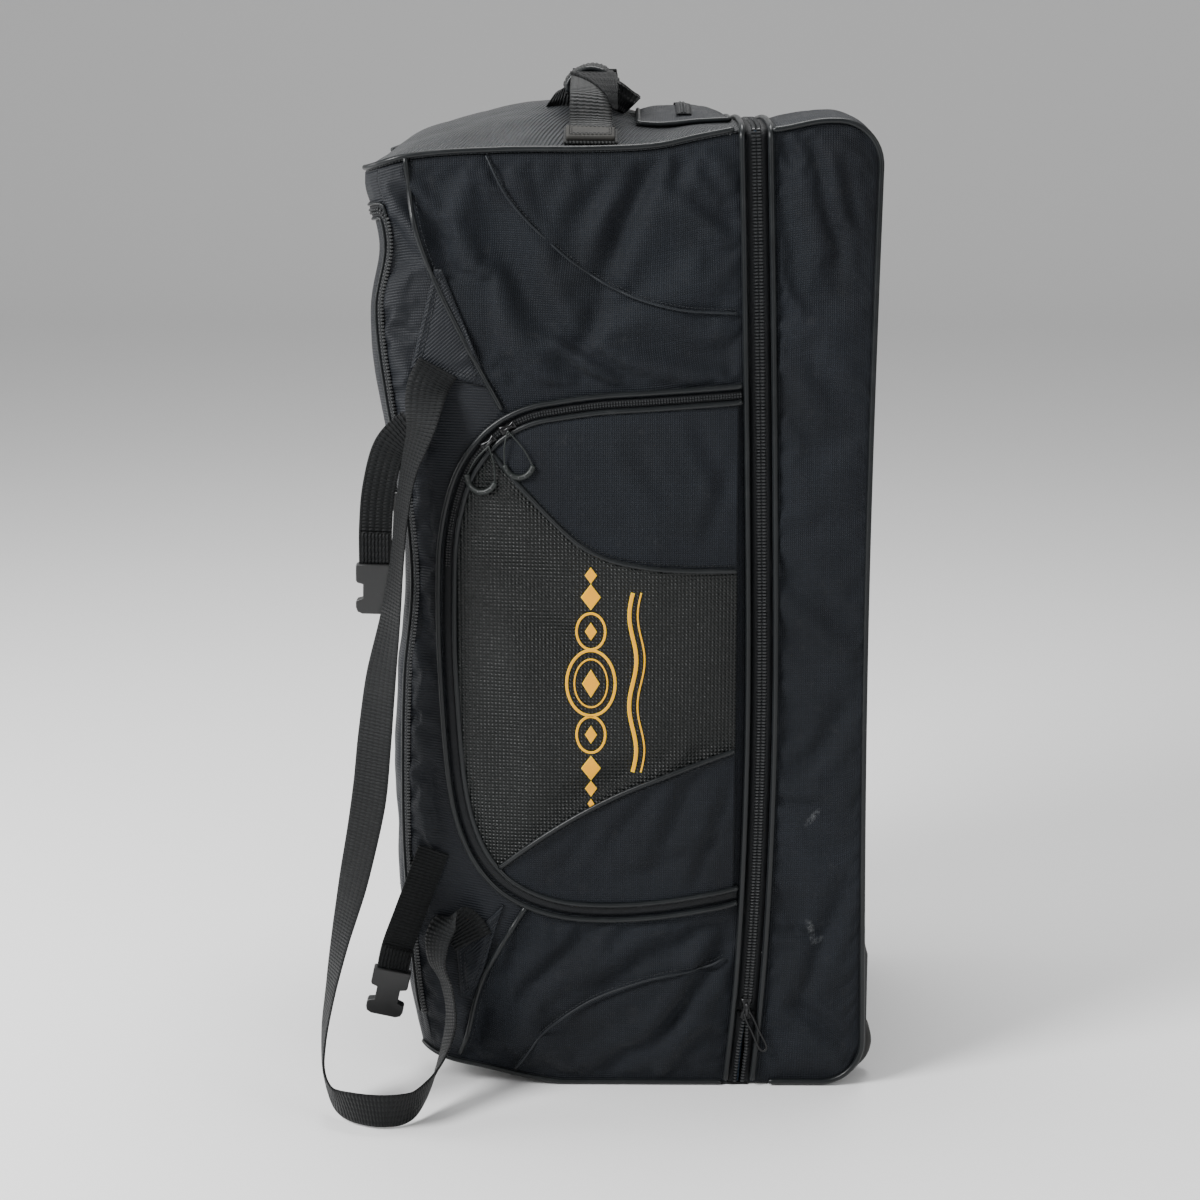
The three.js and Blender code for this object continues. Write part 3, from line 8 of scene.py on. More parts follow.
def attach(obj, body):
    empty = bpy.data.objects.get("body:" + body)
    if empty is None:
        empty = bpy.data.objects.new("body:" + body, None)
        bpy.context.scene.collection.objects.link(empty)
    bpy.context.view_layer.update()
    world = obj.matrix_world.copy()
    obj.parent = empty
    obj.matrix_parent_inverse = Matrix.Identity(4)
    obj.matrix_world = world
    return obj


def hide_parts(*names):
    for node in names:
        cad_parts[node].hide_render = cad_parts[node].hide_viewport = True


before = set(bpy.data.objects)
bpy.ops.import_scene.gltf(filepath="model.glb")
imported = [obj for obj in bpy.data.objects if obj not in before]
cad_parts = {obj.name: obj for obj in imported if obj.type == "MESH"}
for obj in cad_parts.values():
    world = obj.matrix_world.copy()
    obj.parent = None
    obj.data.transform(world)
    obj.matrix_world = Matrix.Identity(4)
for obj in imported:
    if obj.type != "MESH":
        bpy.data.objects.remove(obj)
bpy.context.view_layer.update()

# Sizes in millimetres: +X from the lid to the base compartment, +Y away from the pocket side, +Z up.
BAG_HEIGHT = 900.0
BAG_WIDTH = 360.0
MAIN_DEPTH = 330.0
BASE_DEPTH = 98.0
ZIP_BAND = 20.0
CLOTH = 2.0
GAP = 0.4
SEAM = CLOTH + GAP
LID_CORNER = 38.0
LID_EDGE = 1.44
BASE_CORNER = 40.0
SIDE_CROWN = 7.0
BASE_CROWN = 4.0
SPINE_CROWN = 6.0
DOME_RISE = 36.0
RIM_BOW = 8.0
PIPING_RADIUS = 2.6
ZIP_OPEN_HEIGHT = 74.0
TEETH_RISE = 2.2
POCKET_TOP = 652.0
POCKET_BOTTOM = 178.0
POCKET_DEPTH = 262.0
POCKET_RISE = 11.0
POCKET_ZIP_WIDTH = 9.0
END_POCKET_WIDTH = 210.0
END_POCKET_DEPTH = 82.0
END_POCKET_RISE = 9.0
WEBBING = 38.0
STRAP_WIDTH = 30.0
WEBBING_THICK = 2.2
PATCH_THICK = 2.0
BUCKLE_LENGTH = 46.0
BUCKLE_WIDTH = 35.0
BUCKLE_THICK = 11.0
GRIP_LENGTH = 112.0
HAUL_CLEAR = 28.0
HAUL_PATCH_WIDTH = 48.0
WHEEL_RADIUS = 32.0
WHEEL_WIDTH = 24.0
HUB_RADIUS = 21.0
AXLE_RADIUS = 4.0
HOUSING_WIDTH = 56.0
HOUSING_HEIGHT = 128.0
HOUSING_INSET = 4.0

HALF = BAG_WIDTH / 2
RIM_X = (MAIN_DEPTH - BASE_DEPTH - ZIP_BAND) / 2
LID_X = RIM_X - MAIN_DEPTH
BASE_X = RIM_X + ZIP_BAND
SPINE_X = BASE_X + BASE_DEPTH
WHEEL_X = SPINE_X - 22
WHEEL_Z = WHEEL_RADIUS + 3
HOUSING_Y = HALF - SEAM - HOUSING_INSET - HOUSING_WIDTH / 2
HAUL_X = RIM_X - 0.42 * MAIN_DEPTH
END_POCKET_X = RIM_X - 14
FAR_LEAN = 11.0
METRE = 0.001
MAIN_MIDDLE = (0, 0, BAG_HEIGHT / 2)
BASE_MIDDLE = (175, 0, BAG_HEIGHT / 2)
SIDES = (("near", -1), ("far", 1))

# Outline tables, as shares of the height, the depth or the bow that each one follows
LID_LINE = [
    (0, 0.09), (0.03, 0.074), (0.062, 0.058), (0.153, 0.039), (0.265, 0.027), (0.43, 0.036),
    (0.538, 0.062), (0.643, 0.044), (0.748, 0.0), (0.85, -0.024), (0.911, 0.004), (0.95, -0.008),
    (0.985, -0.03), (1, -0.03),
]
RIM_LINE = [(0, -1.2), (0.118, 0), (0.265, 0.75), (0.43, 1), (0.643, 0.65), (0.85, 0.1), (1, -0.4)]
TOP_LINE = [
    (0, 0.991), (0.127, 0.982), (0.245, 0.973), (0.4, 0.97), (0.66, 0.969), (0.9, 0.963), (1.03, 0.949)]
BOTTOM_LINE = [(0, 0), (0.44, 0), (0.5, 0), (0.6, 0.006), (0.7, 0.015), (0.85, 0.028), (1, 0.045)]
DOME_LINE = [(0.12, 0.38), (0.25, 0.58), (0.4, 0.88), (0.55, 1), (0.75, 0.72), (0.93, 0.35), (1.02, 0.02)]

# Folds of the side panels: both ends as shares of depth and height, half width in millimetres,
# depth in millimetres (a negative one is a ridge).
MAIN_FOLDS = [
    (0.242, 0.965, 0.391, 0.853, 11, 8), (0.173, 0.965, 0.207, 0.93, 9, 5),
    (0.713, 0.921, 0.502, 0.774, 17, 7), (0.846, 0.921, 0.744, 0.794, 12, 4),
    (0.543, 0.769, 0.34, 0.725, 9, 6), (0.156, 0.938, 0.011, 0.886, 9, 5), (0.502, 0.794, 0.286, 0.745, 8, 4),
    (0.127, 0.96, 0.033, 0.912, 7, 4), (0.394, 0.824, 0.502, 0.749, 10, 4),
    (0.286, 0.794, 0.016, 0.759, 13, 4), (0.002, 0.192, 0.512, 0.093, 11, 6),
    (0.015, 0.17, 0.284, 0.026, 10, 6), (0.398, 0.186, 0.684, 0.071, 9, 4),
    (0.142, 0.093, 0.399, 0.015, 9, 4), (0.681, 0.17, 0.742, 0.037, 8, 4), (0.287, 0.96, 0.5, 0.892, 12, 4),
    (0.885, 0.654, 0.835, 0.562, 8, 4), (0.878, 0.521, 0.842, 0.396, 8, 4),
    (0.871, 0.353, 0.819, 0.257, 8, 4), (0.94, 0.933, 0.806, 0.87, 8, 5)]
BASE_FOLDS = [
    (0.0, 0.987, 0.209, 0.952, 6, 3), (0.338, 0.985, 0.686, 0.829, 8, 4.5),
    (0.636, 0.968, 0.838, 0.888, 7, 3), (0.082, 0.562, 0.883, 0.48, 12, 3.5),
    (0.1, 0.316, 0.63, 0.311, 5, 2.5), (0.1, 0.175, 0.651, 0.17, 5, 2.5),
    (0.784, 0.235, 0.191, 0.026, 10, 4.5), (0.892, 0.427, 0.25, 0.332, 11, 3),
    (0.283, 0.794, 0.752, 0.704, 13, 3), (0.279, 0.093, 0.863, 0.048, 8, 3),
    (0.087, 0.921, 0.279, 0.824, 8, 2.5)]

# Route of a carry handle: share of MAIN_DEPTH from the base zip, share of BAG_WIDTH off the side,
# share of BAG_HEIGHT, then the turn and tilt of its width in degrees.
HANDLE_ROUTE = [
    (0.83, 0.027, 0.758, 0, 0), (0.858, 0.028, 0.738, -4, 0), (0.874, 0.062, 0.7, -45, 0),
    (0.909, 0.078, 0.656, -66, 0), (0.93, 0.09, 0.608, -70, 0), (0.945, 0.096, 0.558, -68, 0),
    (0.963, 0.1, 0.508, -58, 0), (0.99, 0.112, 0.448, -40, 0), (1.009, 0.122, 0.387, -32, 0),
    (1.027, 0.134, 0.325, -30, 0), (1.07, 0.156, 0.244, -42, 0), (1.109, 0.175, 0.182, -62, 0),
    (1.136, 0.192, 0.131, -74, 0), (1.157, 0.206, 0.079, -80, 0), (1.155, 0.224, 0.034, -84, 28),
    (1.12, 0.262, 0.004, -88, 58), (1.05, 0.304, 0, -90, 70), (0.972, 0.318, 0, -90, 72),
    (0.912, 0.288, 0.001, -92, 62), (0.872, 0.236, 0.016, -90, 38), (0.834, 0.174, 0.048, -80, 12),
    (0.81, 0.128, 0.086, -74, 0), (0.822, 0.102, 0.12, -68, 0), (0.85, 0.084, 0.145, -60, 4),
    (0.846, 0.064, 0.166, -44, 16), (0.812, 0.044, 0.178, -14, 30), (0.776, 0.03, 0.164, 0, 36),
    (0.752, 0.0262, 0.148, 0, 36)]
FAR_HANDLE_SHIFT = 0.33
UPPER_STRAP_ROUTE = [
    (0.88, 0.004, 0.702, -12, -26), (0.918, 0.0, 0.693, -14, -24), (0.965, 0.002, 0.675, -6, -18),
    (0.997, 0.007, 0.635, 0, -6), (1.008, 0.01, 0.595, 2, 0), (1.01, 0.008, 0.558, 0, 0),
]
LOWER_STRAP_ROUTE = [
    (0.86, 0.014, 0.25, 8, -30), (0.89, 0.024, 0.222, 14, -26), (0.93, 0.03, 0.185, 12, -16),
    (0.966, 0.03, 0.15, 6, -8), (0.98, 0.026, 0.128, 2, -2),
]
UPPER_PATCH = [(0.875, 0.75), (0.855, 0.842), (0.79, 0.842), (0.7, 0.744)]
LOWER_PATCH = [(0.8, 0.15), (0.79, 0.1), (0.755, 0.094), (0.665, 0.186)]
POCKET_UPPER_SEAM = [(0, 0.674), (0.35, 0.687), (0.55, 0.724), (0.75, 0.83), (0.93, 0.945)]
POCKET_LOWER_SEAM = [(0, 0.325), (0.2, 0.288), (0.45, 0.232), (0.7, 0.15), (0.92, 0.05)]

# Piping and stitched seams of the near side, as (x, z) in millimetres
UPPER_DIAGONAL = [(-195, 866), (-188, 812), (-174, 768), (-140, 697), (-112, 645)]
LOWER_DIAGONAL = [(-93, 178), (-112, 148), (-129, 118), (-141, 84), (-148, 54), (-156, 30)]
UPPER_STITCHED = [(-124, 868), (-103, 829), (-50, 777), (-6, 750), (47, 734), (97, 730)]
LOWER_STITCHED = [(-104, 17), (-73, 59), (-37, 87), (-1, 103), (36, 114), (76, 120), (92, 128)]


# Table lookups and small helpers
def follow(rows, t):
    places, values = np.array(rows, float).T
    slopes = np.empty(len(rows))
    slopes[1:-1] = (values[2:] - values[:-2]) / (places[2:] - places[:-2])
    slopes[0] = (values[1] - values[0]) / (places[1] - places[0])
    slopes[-1] = (values[-1] - values[-2]) / (places[-1] - places[-2])
    t = np.clip(np.asarray(t, float), places[0], places[-1])
    i = np.clip(np.searchsorted(places, t, side="right") - 1, 0, len(rows) - 2)
    span = places[i + 1] - places[i]
    s = (t - places[i]) / span
    return ((2 * s**3 - 3 * s**2 + 1) * values[i] + (s**3 - 2 * s**2 + s) * span * slopes[i]
            + (3 * s**2 - 2 * s**3) * values[i + 1] + (s**3 - s**2) * span * slopes[i + 1])


def smooth(value, low, high):
    t = np.clip((value - low) / (high - low), 0, 1)
    return t * t * (3 - 2 * t)


def mix(a, b, t):
    return a + (b - a) * t


def bump(t, power):
    return 1 - np.abs(2 * np.clip(t, 0, 1) - 1) ** power


def join(x, y, z):
    return np.stack(np.broadcast_arrays(x, y, z), axis=-1).astype(float)


def unit(vectors):
    return vectors / np.linalg.norm(vectors, axis=-1, keepdims=True)


def run_along(line):
    """Length covered up to each point of a polyline."""
    return np.concatenate([[0], np.cumsum(np.linalg.norm(np.diff(line, axis=0), axis=1))])


def wander(grid, scale, seed):
    """Smooth noise from -1 to 1 at each point of a grid."""
    flat = grid.reshape(-1, 3) / scale
    values = [noise.noise(Vector((p[0] + seed, p[1] - seed, p[2] + 2 * seed))) for p in flat]
    return np.array(values).reshape(grid.shape[:-1])


# Outline of the compartments
def rim_x(v):
    return RIM_X + RIM_BOW * follow(RIM_LINE, v)


def lid_x(v):
    return LID_X + MAIN_DEPTH * follow(LID_LINE, v)


def share(x):
    return (RIM_X - x) / MAIN_DEPTH


def top_z(x):
    return BAG_HEIGHT * follow(TOP_LINE, share(x))


def bottom_z(x):
    return BAG_HEIGHT * np.maximum(0, follow(BOTTOM_LINE, share(x)))


def arch(y):
    return 1 - np.minimum(1, np.abs(y) / HALF) ** 2.2


def dome_z(x, y):
    first = DOME_LINE[0]
    near_rim = mix(SPINE_CROWN, first[1] * DOME_RISE, np.clip(share(x) / first[0], 0, 1))
    rise = np.where(share(x) < first[0], near_rim, DOME_RISE * follow(DOME_LINE, share(x)))
    return top_z(x) + rise * arch(y)


def main_side(u, v, side=-1, lift=0.0, inset=0.0):
    """Place on a side of the main compartment: u is 0 at the base zip, 1 at the turn, 2 at the lid."""
    u, v = np.broadcast_arrays(np.asarray(u, float), np.asarray(v, float))
    seam = lid_x(v) + LID_CORNER
    turn = np.maximum(0, u - 1) * math.pi / 2
    x = np.where(u <= 1, mix(rim_x(v), seam, u), seam - (LID_CORNER + lift) * np.sin(turn))
    z = mix(bottom_z(x) + inset, top_z(x) - inset, v)
    crown = SIDE_CROWN * bump(u, 4) * bump(v, 6)
    flat = HALF + crown + lift
    round_part = HALF - LID_CORNER + (LID_CORNER + lift) * np.cos(turn)
    return join(x, side * np.where(u <= 1, flat, round_part), z)


def on_side(x, z, lift, side=-1):
    x, z = np.broadcast_arrays(np.asarray(x, float), np.asarray(z, float))
    v = (z - bottom_z(x)) / (top_z(x) - bottom_z(x))
    seam = lid_x(v) + LID_CORNER
    flat = (rim_x(v) - x) / (rim_x(v) - seam)
    turned = 1 + np.arcsin(np.clip((seam - x) / LID_CORNER, 0, 1)) / (math.pi / 2)
    return main_side(np.where(x >= seam, flat, turned), v, side, lift)


def lid_place(w, v, lift, inset):
    """Place on the lid: w runs from -1 to 0 round the near corner, to 1 across, to 2 round the far one."""
    w, v = np.broadcast_arrays(np.asarray(w, float), np.asarray(v, float))
    sides = 2 - LID_EDGE
    near = main_side(LID_EDGE + sides * (np.clip(w, -1, 0) + 1), v, -1, lift, inset)
    far = main_side(LID_EDGE + sides * (2 - np.clip(w, 1, 2)), v, 1, lift, inset)
    half = HALF - LID_CORNER
    x = lid_x(v)
    middle = join(x - lift, mix(-half, half, w), mix(bottom_z(x) + inset, top_z(x) - inset, v))
    return np.where((w < 0)[..., None], near, np.where((w > 1)[..., None], far, middle))


def base_edge(v):
    return rim_x(v) + ZIP_BAND


def base_bow(v):
    return -0.6 * RIM_BOW * np.sin(math.pi * v)


def base_side(t, v, side=-1, lift=0.0, inset=0.0):
    """Place on a side of the base: t is 0 at the zip, 1 where the outline starts to turn, 2 at the spine."""
    t, v = np.broadcast_arrays(np.asarray(t, float), np.asarray(v, float))
    centre = SPINE_X - BASE_CORNER + base_bow(v)
    radius = BASE_CORNER - inset
    angle = np.clip(t - 1, 0, 1) * math.pi / 2
    drop = (BAG_HEIGHT - top_z(RIM_X)) * (1 - smooth(np.clip(t, 0, 1), 0, 0.9))
    flat = t <= 1
    x = np.where(flat, mix(base_edge(v), centre, np.clip(t, 0, 1)), centre + radius * np.sin(angle))
    low = np.where(flat, inset, BASE_CORNER - radius * np.cos(angle))
    high = np.where(flat, BAG_HEIGHT - drop - inset, BAG_HEIGHT - BASE_CORNER + radius * np.cos(angle))
    across = (x - base_edge(v)) / BASE_DEPTH
    crown = BASE_CROWN * bump(across, 3) * bump(v, 8)
    return join(x, side * (HALF + crown + lift), mix(low, high, v))


# Meshes
def surface_normals(grid):
    along = np.gradient(grid, axis=0)
    across = np.gradient(grid, axis=1)
    normals = np.cross(along, across)
    length = np.linalg.norm(normals, axis=-1, keepdims=True)
    return normals / np.maximum(length, 1e-9)


def outward(grid, inside):
    """Unit normals of a grid, turned away from a point inside."""
    normals = surface_normals(grid)
    facing = np.sum(normals * (grid - np.array(inside)), axis=-1).mean()
    return normals if facing > 0 else -normals


def facing_out(points, quads):
    """The quads of a closed solid, turned over if they face inward."""
    a, b, c, d = (points[quads[:, k]] for k in range(4))
    volume = np.sum(a * np.cross(b, c)) + np.sum(a * np.cross(c, d))
    return quads[:, ::-1] if volume < 0 else quads


def slab_arrays(front, back):
    """Points, quads and flat coordinates of the closed solid between two grids."""
    rows, cols = front.shape[:2]
    points = np.concatenate([front.reshape(-1, 3), back.reshape(-1, 3)])
    index = np.arange(rows * cols).reshape(rows, cols)
    a, b, c, d = index[:-1, :-1], index[:-1, 1:], index[1:, 1:], index[1:, :-1]
    top = np.stack([a, b, c, d], -1).reshape(-1, 4)
    bottom = top[:, ::-1] + rows * cols
    ring = np.concatenate([index[0, :-1], index[:-1, -1], index[-1, :0:-1], index[:0:-1, 0]])
    after = np.roll(ring, -1)
    rim = np.stack([ring, ring + rows * cols, after + rows * cols, after], -1)
    quads = facing_out(points, np.concatenate([top, bottom, rim]))
    step_v = np.linalg.norm(np.diff(front, axis=0), axis=-1).mean(axis=1)
    step_u = np.linalg.norm(np.diff(front, axis=1), axis=-1).mean(axis=0)
    v = np.concatenate([[0], np.cumsum(step_v)])
    u = np.concatenate([[0], np.cumsum(step_u)])
    flat = np.stack(np.meshgrid(u, v), -1).reshape(-1, 2)
    return points, quads, np.concatenate([flat, flat])


def leaned(points):
    """The top sinks toward its far edge on the base's side, where nothing inside holds it up."""
    x, y, z = points.T
    share_down = smooth(x, -10, 100) * smooth(y, -HALF, HALF) * smooth(z, 0.6 * BAG_HEIGHT, BAG_HEIGHT)
    return points - np.stack([0 * x, 0 * x, FAR_LEAN * share_down], -1)


def placed(name, data):
    """New object in the scene."""
    obj = bpy.data.objects.new(name, data)
    bpy.context.scene.collection.objects.link(obj)
    return obj


def fast_object(name, parts, material, smooth_faces=True):
    """One mesh object from several (points, quads, flat) parts in millimetres."""
    points, quads, flats, start = [], [], [], 0
    for part_points, part_quads, part_flat in parts:
        points.append(part_points)
        quads.append(part_quads + start)
        flats.append(part_flat)
        start += len(part_points)
    points = (leaned(np.concatenate(points)) * METRE).astype(np.float32)
    quads = np.concatenate(quads).astype(np.int32)
    flats = (np.concatenate(flats) * METRE).astype(np.float32)
    mesh = bpy.data.meshes.new(name)
    mesh.vertices.add(len(points))
    mesh.vertices.foreach_set("co", points.ravel())
    mesh.loops.add(quads.size)
    mesh.loops.foreach_set("vertex_index", quads.ravel())
    mesh.polygons.add(len(quads))
    mesh.polygons.foreach_set("loop_start", np.arange(0, quads.size, 4, dtype=np.int32))
    mesh.update(calc_edges=True)
    mesh.polygons.foreach_set("use_smooth", np.full(len(quads), smooth_faces))
    layer = mesh.uv_layers.new(name="weave")
    layer.data.foreach_set("uv", flats[quads.ravel()].ravel())
    mesh.materials.append(material)
    mesh.validate()
    return placed(name, mesh)


def cloth_slab(grid, inside):
    return slab_arrays(grid, grid - outward(grid, inside) * CLOTH)


def frames_along(points):
    """Tangents and two turning-free side directions along a polyline."""
    tangents = unit(np.gradient(points, axis=0))
    first = np.array([0, 0, 1.0]) if abs(tangents[0][2]) < 0.9 else np.array([1.0, 0, 0])
    side = unit(np.cross(tangents[0], first))
    sides = []
    for tangent in tangents:
        side = unit(side - tangent * (side @ tangent))
        sides.append(side)
    sides = np.array(sides)
    return tangents, sides, np.cross(tangents, sides)


def curve(points, step):
    """Smooth centripetal curve through points, with steps of about one length."""
    points = np.asarray(points, float)
    if len(points) == 2:
        points = np.array([points[0], points.mean(axis=0), points[1]])
    padded = np.concatenate([[2 * points[0] - points[1]], points, [2 * points[-1] - points[-2]]])
    gaps = np.maximum(np.linalg.norm(np.diff(padded, axis=0), axis=1), 1e-6) ** 0.5
    knots = np.concatenate([[0], np.cumsum(gaps)])
    found = []
    for i in range(1, len(padded) - 2):
        t0, t1, t2, t3 = knots[i - 1:i + 3]
        count = max(1, int(round(np.linalg.norm(padded[i + 1] - padded[i]) / step)))
        t = np.linspace(t1, t2, count, endpoint=False)[:, None]
        p0, p1, p2, p3 = padded[i - 1:i + 3]
        a1 = (t1 - t) / (t1 - t0) * p0 + (t - t0) / (t1 - t0) * p1
        a2 = (t2 - t) / (t2 - t1) * p1 + (t - t1) / (t2 - t1) * p2
        a3 = (t3 - t) / (t3 - t2) * p2 + (t - t2) / (t3 - t2) * p3
        b1 = (t2 - t) / (t2 - t0) * a1 + (t - t0) / (t2 - t0) * a2
        b2 = (t3 - t) / (t3 - t1) * a2 + (t - t1) / (t3 - t1) * a3
        found.append((t2 - t) / (t2 - t1) * b1 + (t - t1) / (t2 - t1) * b2)
    return np.concatenate(found + [points[-1:]])


def tube_arrays(points, radius, sides=10):
    """Closed round tube along a polyline, its ends drawn in to a small cap."""
    tangents, across, over = frames_along(points)
    points = np.concatenate([points[:1], points, points[-1:]])
    across = np.concatenate([across[:1], across, across[-1:]])
    over = np.concatenate([over[:1], over, over[-1:]])
    points[0] -= tangents[0] * radius * 0.4
    points[-1] += tangents[-1] * radius * 0.4
    radii = np.full(len(points), float(radius))
    radii[[0, -1]] = radius * 0.35
    angles = np.linspace(0, 2 * math.pi, sides, endpoint=False)
    ring = np.cos(angles)[None, :, None] * across[:, None, :]
    ring = ring + np.sin(angles)[None, :, None] * over[:, None, :]
    body = points[:, None, :] + ring * radii[:, None, None]
    verts = np.concatenate([body.reshape(-1, 3), points[:1], points[-1:]])
    count = len(points)
    index = np.arange(count * sides).reshape(count, sides)
    after = np.roll(index, -1, axis=1)
    quads = np.stack([index[:-1], after[:-1], after[1:], index[1:]], -1).reshape(-1, 4)
    caps = []
    for k in range(0, sides, 2):
        caps.append((count * sides, index[0][(k + 2) % sides], index[0][(k + 1) % sides], index[0][k]))
        caps.append((count * sides + 1, index[-1][k], index[-1][(k + 1) % sides], index[-1][(k + 2) % sides]))
    quads = facing_out(verts, np.concatenate([quads, np.array(caps)]))
    run = run_along(points)
    flat = np.stack(np.broadcast_arrays(run[:, None], (angles * radius)[None, :]), -1).reshape(-1, 2)
    return verts, quads, np.concatenate([flat, [[0, 0], [run[-1], 0]]])


def box_arrays(centres, directions, normals, length, width, height):
    """Many small rounded blocks at once: eight-sided lozenges along their directions."""
    centres = np.asarray(centres, float)
    side = np.cross(normals, directions)
    side /= np.maximum(np.linalg.norm(side, axis=1, keepdims=True), 1e-9)
    up = np.cross(directions, side)
    corners = []
    for along, across, raised in [
        (-0.5, -0.3, 0), (0.5, -0.3, 0), (0.5, 0.3, 0), (-0.5, 0.3, 0),
        (-0.34, -0.5, 0.5), (0.34, -0.5, 0.5), (0.34, 0.5, 0.5), (-0.34, 0.5, 0.5),
        (-0.2, -0.24, 1), (0.2, -0.24, 1), (0.2, 0.24, 1), (-0.2, 0.24, 1),
    ]:
        corners.append(centres + directions * along * length + side * across * width + up * raised * height)
    points = np.stack(corners, 1)
    quads = [(0, 3, 2, 1), (8, 9, 10, 11)]
    for low, high in ((0, 4), (4, 8)):
        for k in range(4):
            n = (k + 1) % 4
            quads.append((low + k, low + n, high + n, high + k))
    quads = facing_out(points[0], np.array(quads))
    offsets = (np.arange(len(centres)) * 12)[:, None, None]
    all_quads = (quads[None] + offsets).reshape(-1, 4)
    flat = np.tile([[0.0, 0.0]], (len(centres) * 12, 1))
    return points.reshape(-1, 3), all_quads, flat


# Node materials
SCUFF_CHALK = (0.11, 0.115, 0.12, 1)
DUST = (0.16, 0.155, 0.145, 1)


def new_material(name):
    material = bpy.data.materials.new(name)
    material.use_nodes = True
    tree = material.node_tree
    shader = tree.nodes["Principled BSDF"]
    return material, tree, shader


def add_node(tree, kind, inputs=None, **settings):
    node = tree.nodes.new(kind)
    for key, value in settings.items():
        setattr(node, key, value)
    for key, value in (inputs or {}).items():
        if isinstance(value, bpy.types.NodeSocket):
            tree.links.new(value, node.inputs[key])
        else:
            node.inputs[key].default_value = value
    return node


def calc(tree, operation, a, b=None):
    inputs = {0: a} if b is None else {0: a, 1: b}
    return add_node(tree, "ShaderNodeMath", inputs, operation=operation).outputs[0]


def noise_of(tree, place, scale, detail, roughness=0.5):
    inputs = {"Vector": place, "Scale": scale, "Detail": detail, "Roughness": roughness}
    return add_node(tree, "ShaderNodeTexNoise", inputs).outputs[0]


def remap(tree, value, low, high, first, last):
    """A value from low to high, spread from first to last."""
    inputs = {0: value, 1: low, 2: high, 3: first, 4: last}
    return add_node(tree, "ShaderNodeMapRange", inputs).outputs[0]


def blend(tree, share_of_b, a, b):
    return add_node(tree, "ShaderNodeMixRGB", {0: share_of_b, 1: a, 2: b}).outputs[0]


def thread_wave(tree, coordinate, pitch_mm, sharp=1.0):
    """Ridges from 0 to 1 across one coordinate, one for each pitch."""
    turned = calc(tree, "MULTIPLY", coordinate, 2 * math.pi / (pitch_mm * METRE))
    wave = calc(tree, "MULTIPLY_ADD", calc(tree, "SINE", turned), 0.5)
    wave.node.inputs[2].default_value = 0.5
    return calc(tree, "POWER", wave, sharp) if sharp != 1.0 else wave


def scuffed(tree, place, marks, base):
    """Faint chalky rubs on the near side, broken up by noise: x, z, half sizes in metres, turn."""
    split = add_node(tree, "ShaderNodeSeparateXYZ", {0: place})
    broken = noise_of(tree, place, 420.0, 4.0, 0.7)
    front = calc(tree, "LESS_THAN", split.outputs[1], -0.1)
    out = base
    for x, z, wide, tall, turn in marks:
        cos, sin = math.cos(math.radians(turn)), math.sin(math.radians(turn))
        dx, dz = calc(tree, "SUBTRACT", split.outputs[0], x), calc(tree, "SUBTRACT", split.outputs[2], z)
        p = calc(tree, "ADD", calc(tree, "MULTIPLY", dx, cos / wide), calc(tree, "MULTIPLY", dz, sin / wide))
        q = calc(tree, "ADD", calc(tree, "MULTIPLY", dx, -sin / tall), calc(tree, "MULTIPLY", dz, cos / tall))
        away = calc(tree, "ADD", calc(tree, "MULTIPLY", p, p), calc(tree, "MULTIPLY", q, q))
        spot = remap(tree, away, 0.0, 1.6, 0.55, 0.0)
        patchy = remap(tree, broken, 0.42, 0.62, 0.0, 1.0)
        mask = calc(tree, "MULTIPLY", calc(tree, "MULTIPLY", spot, patchy), front)
        out = blend(tree, mask, out, SCUFF_CHALK)
    return out


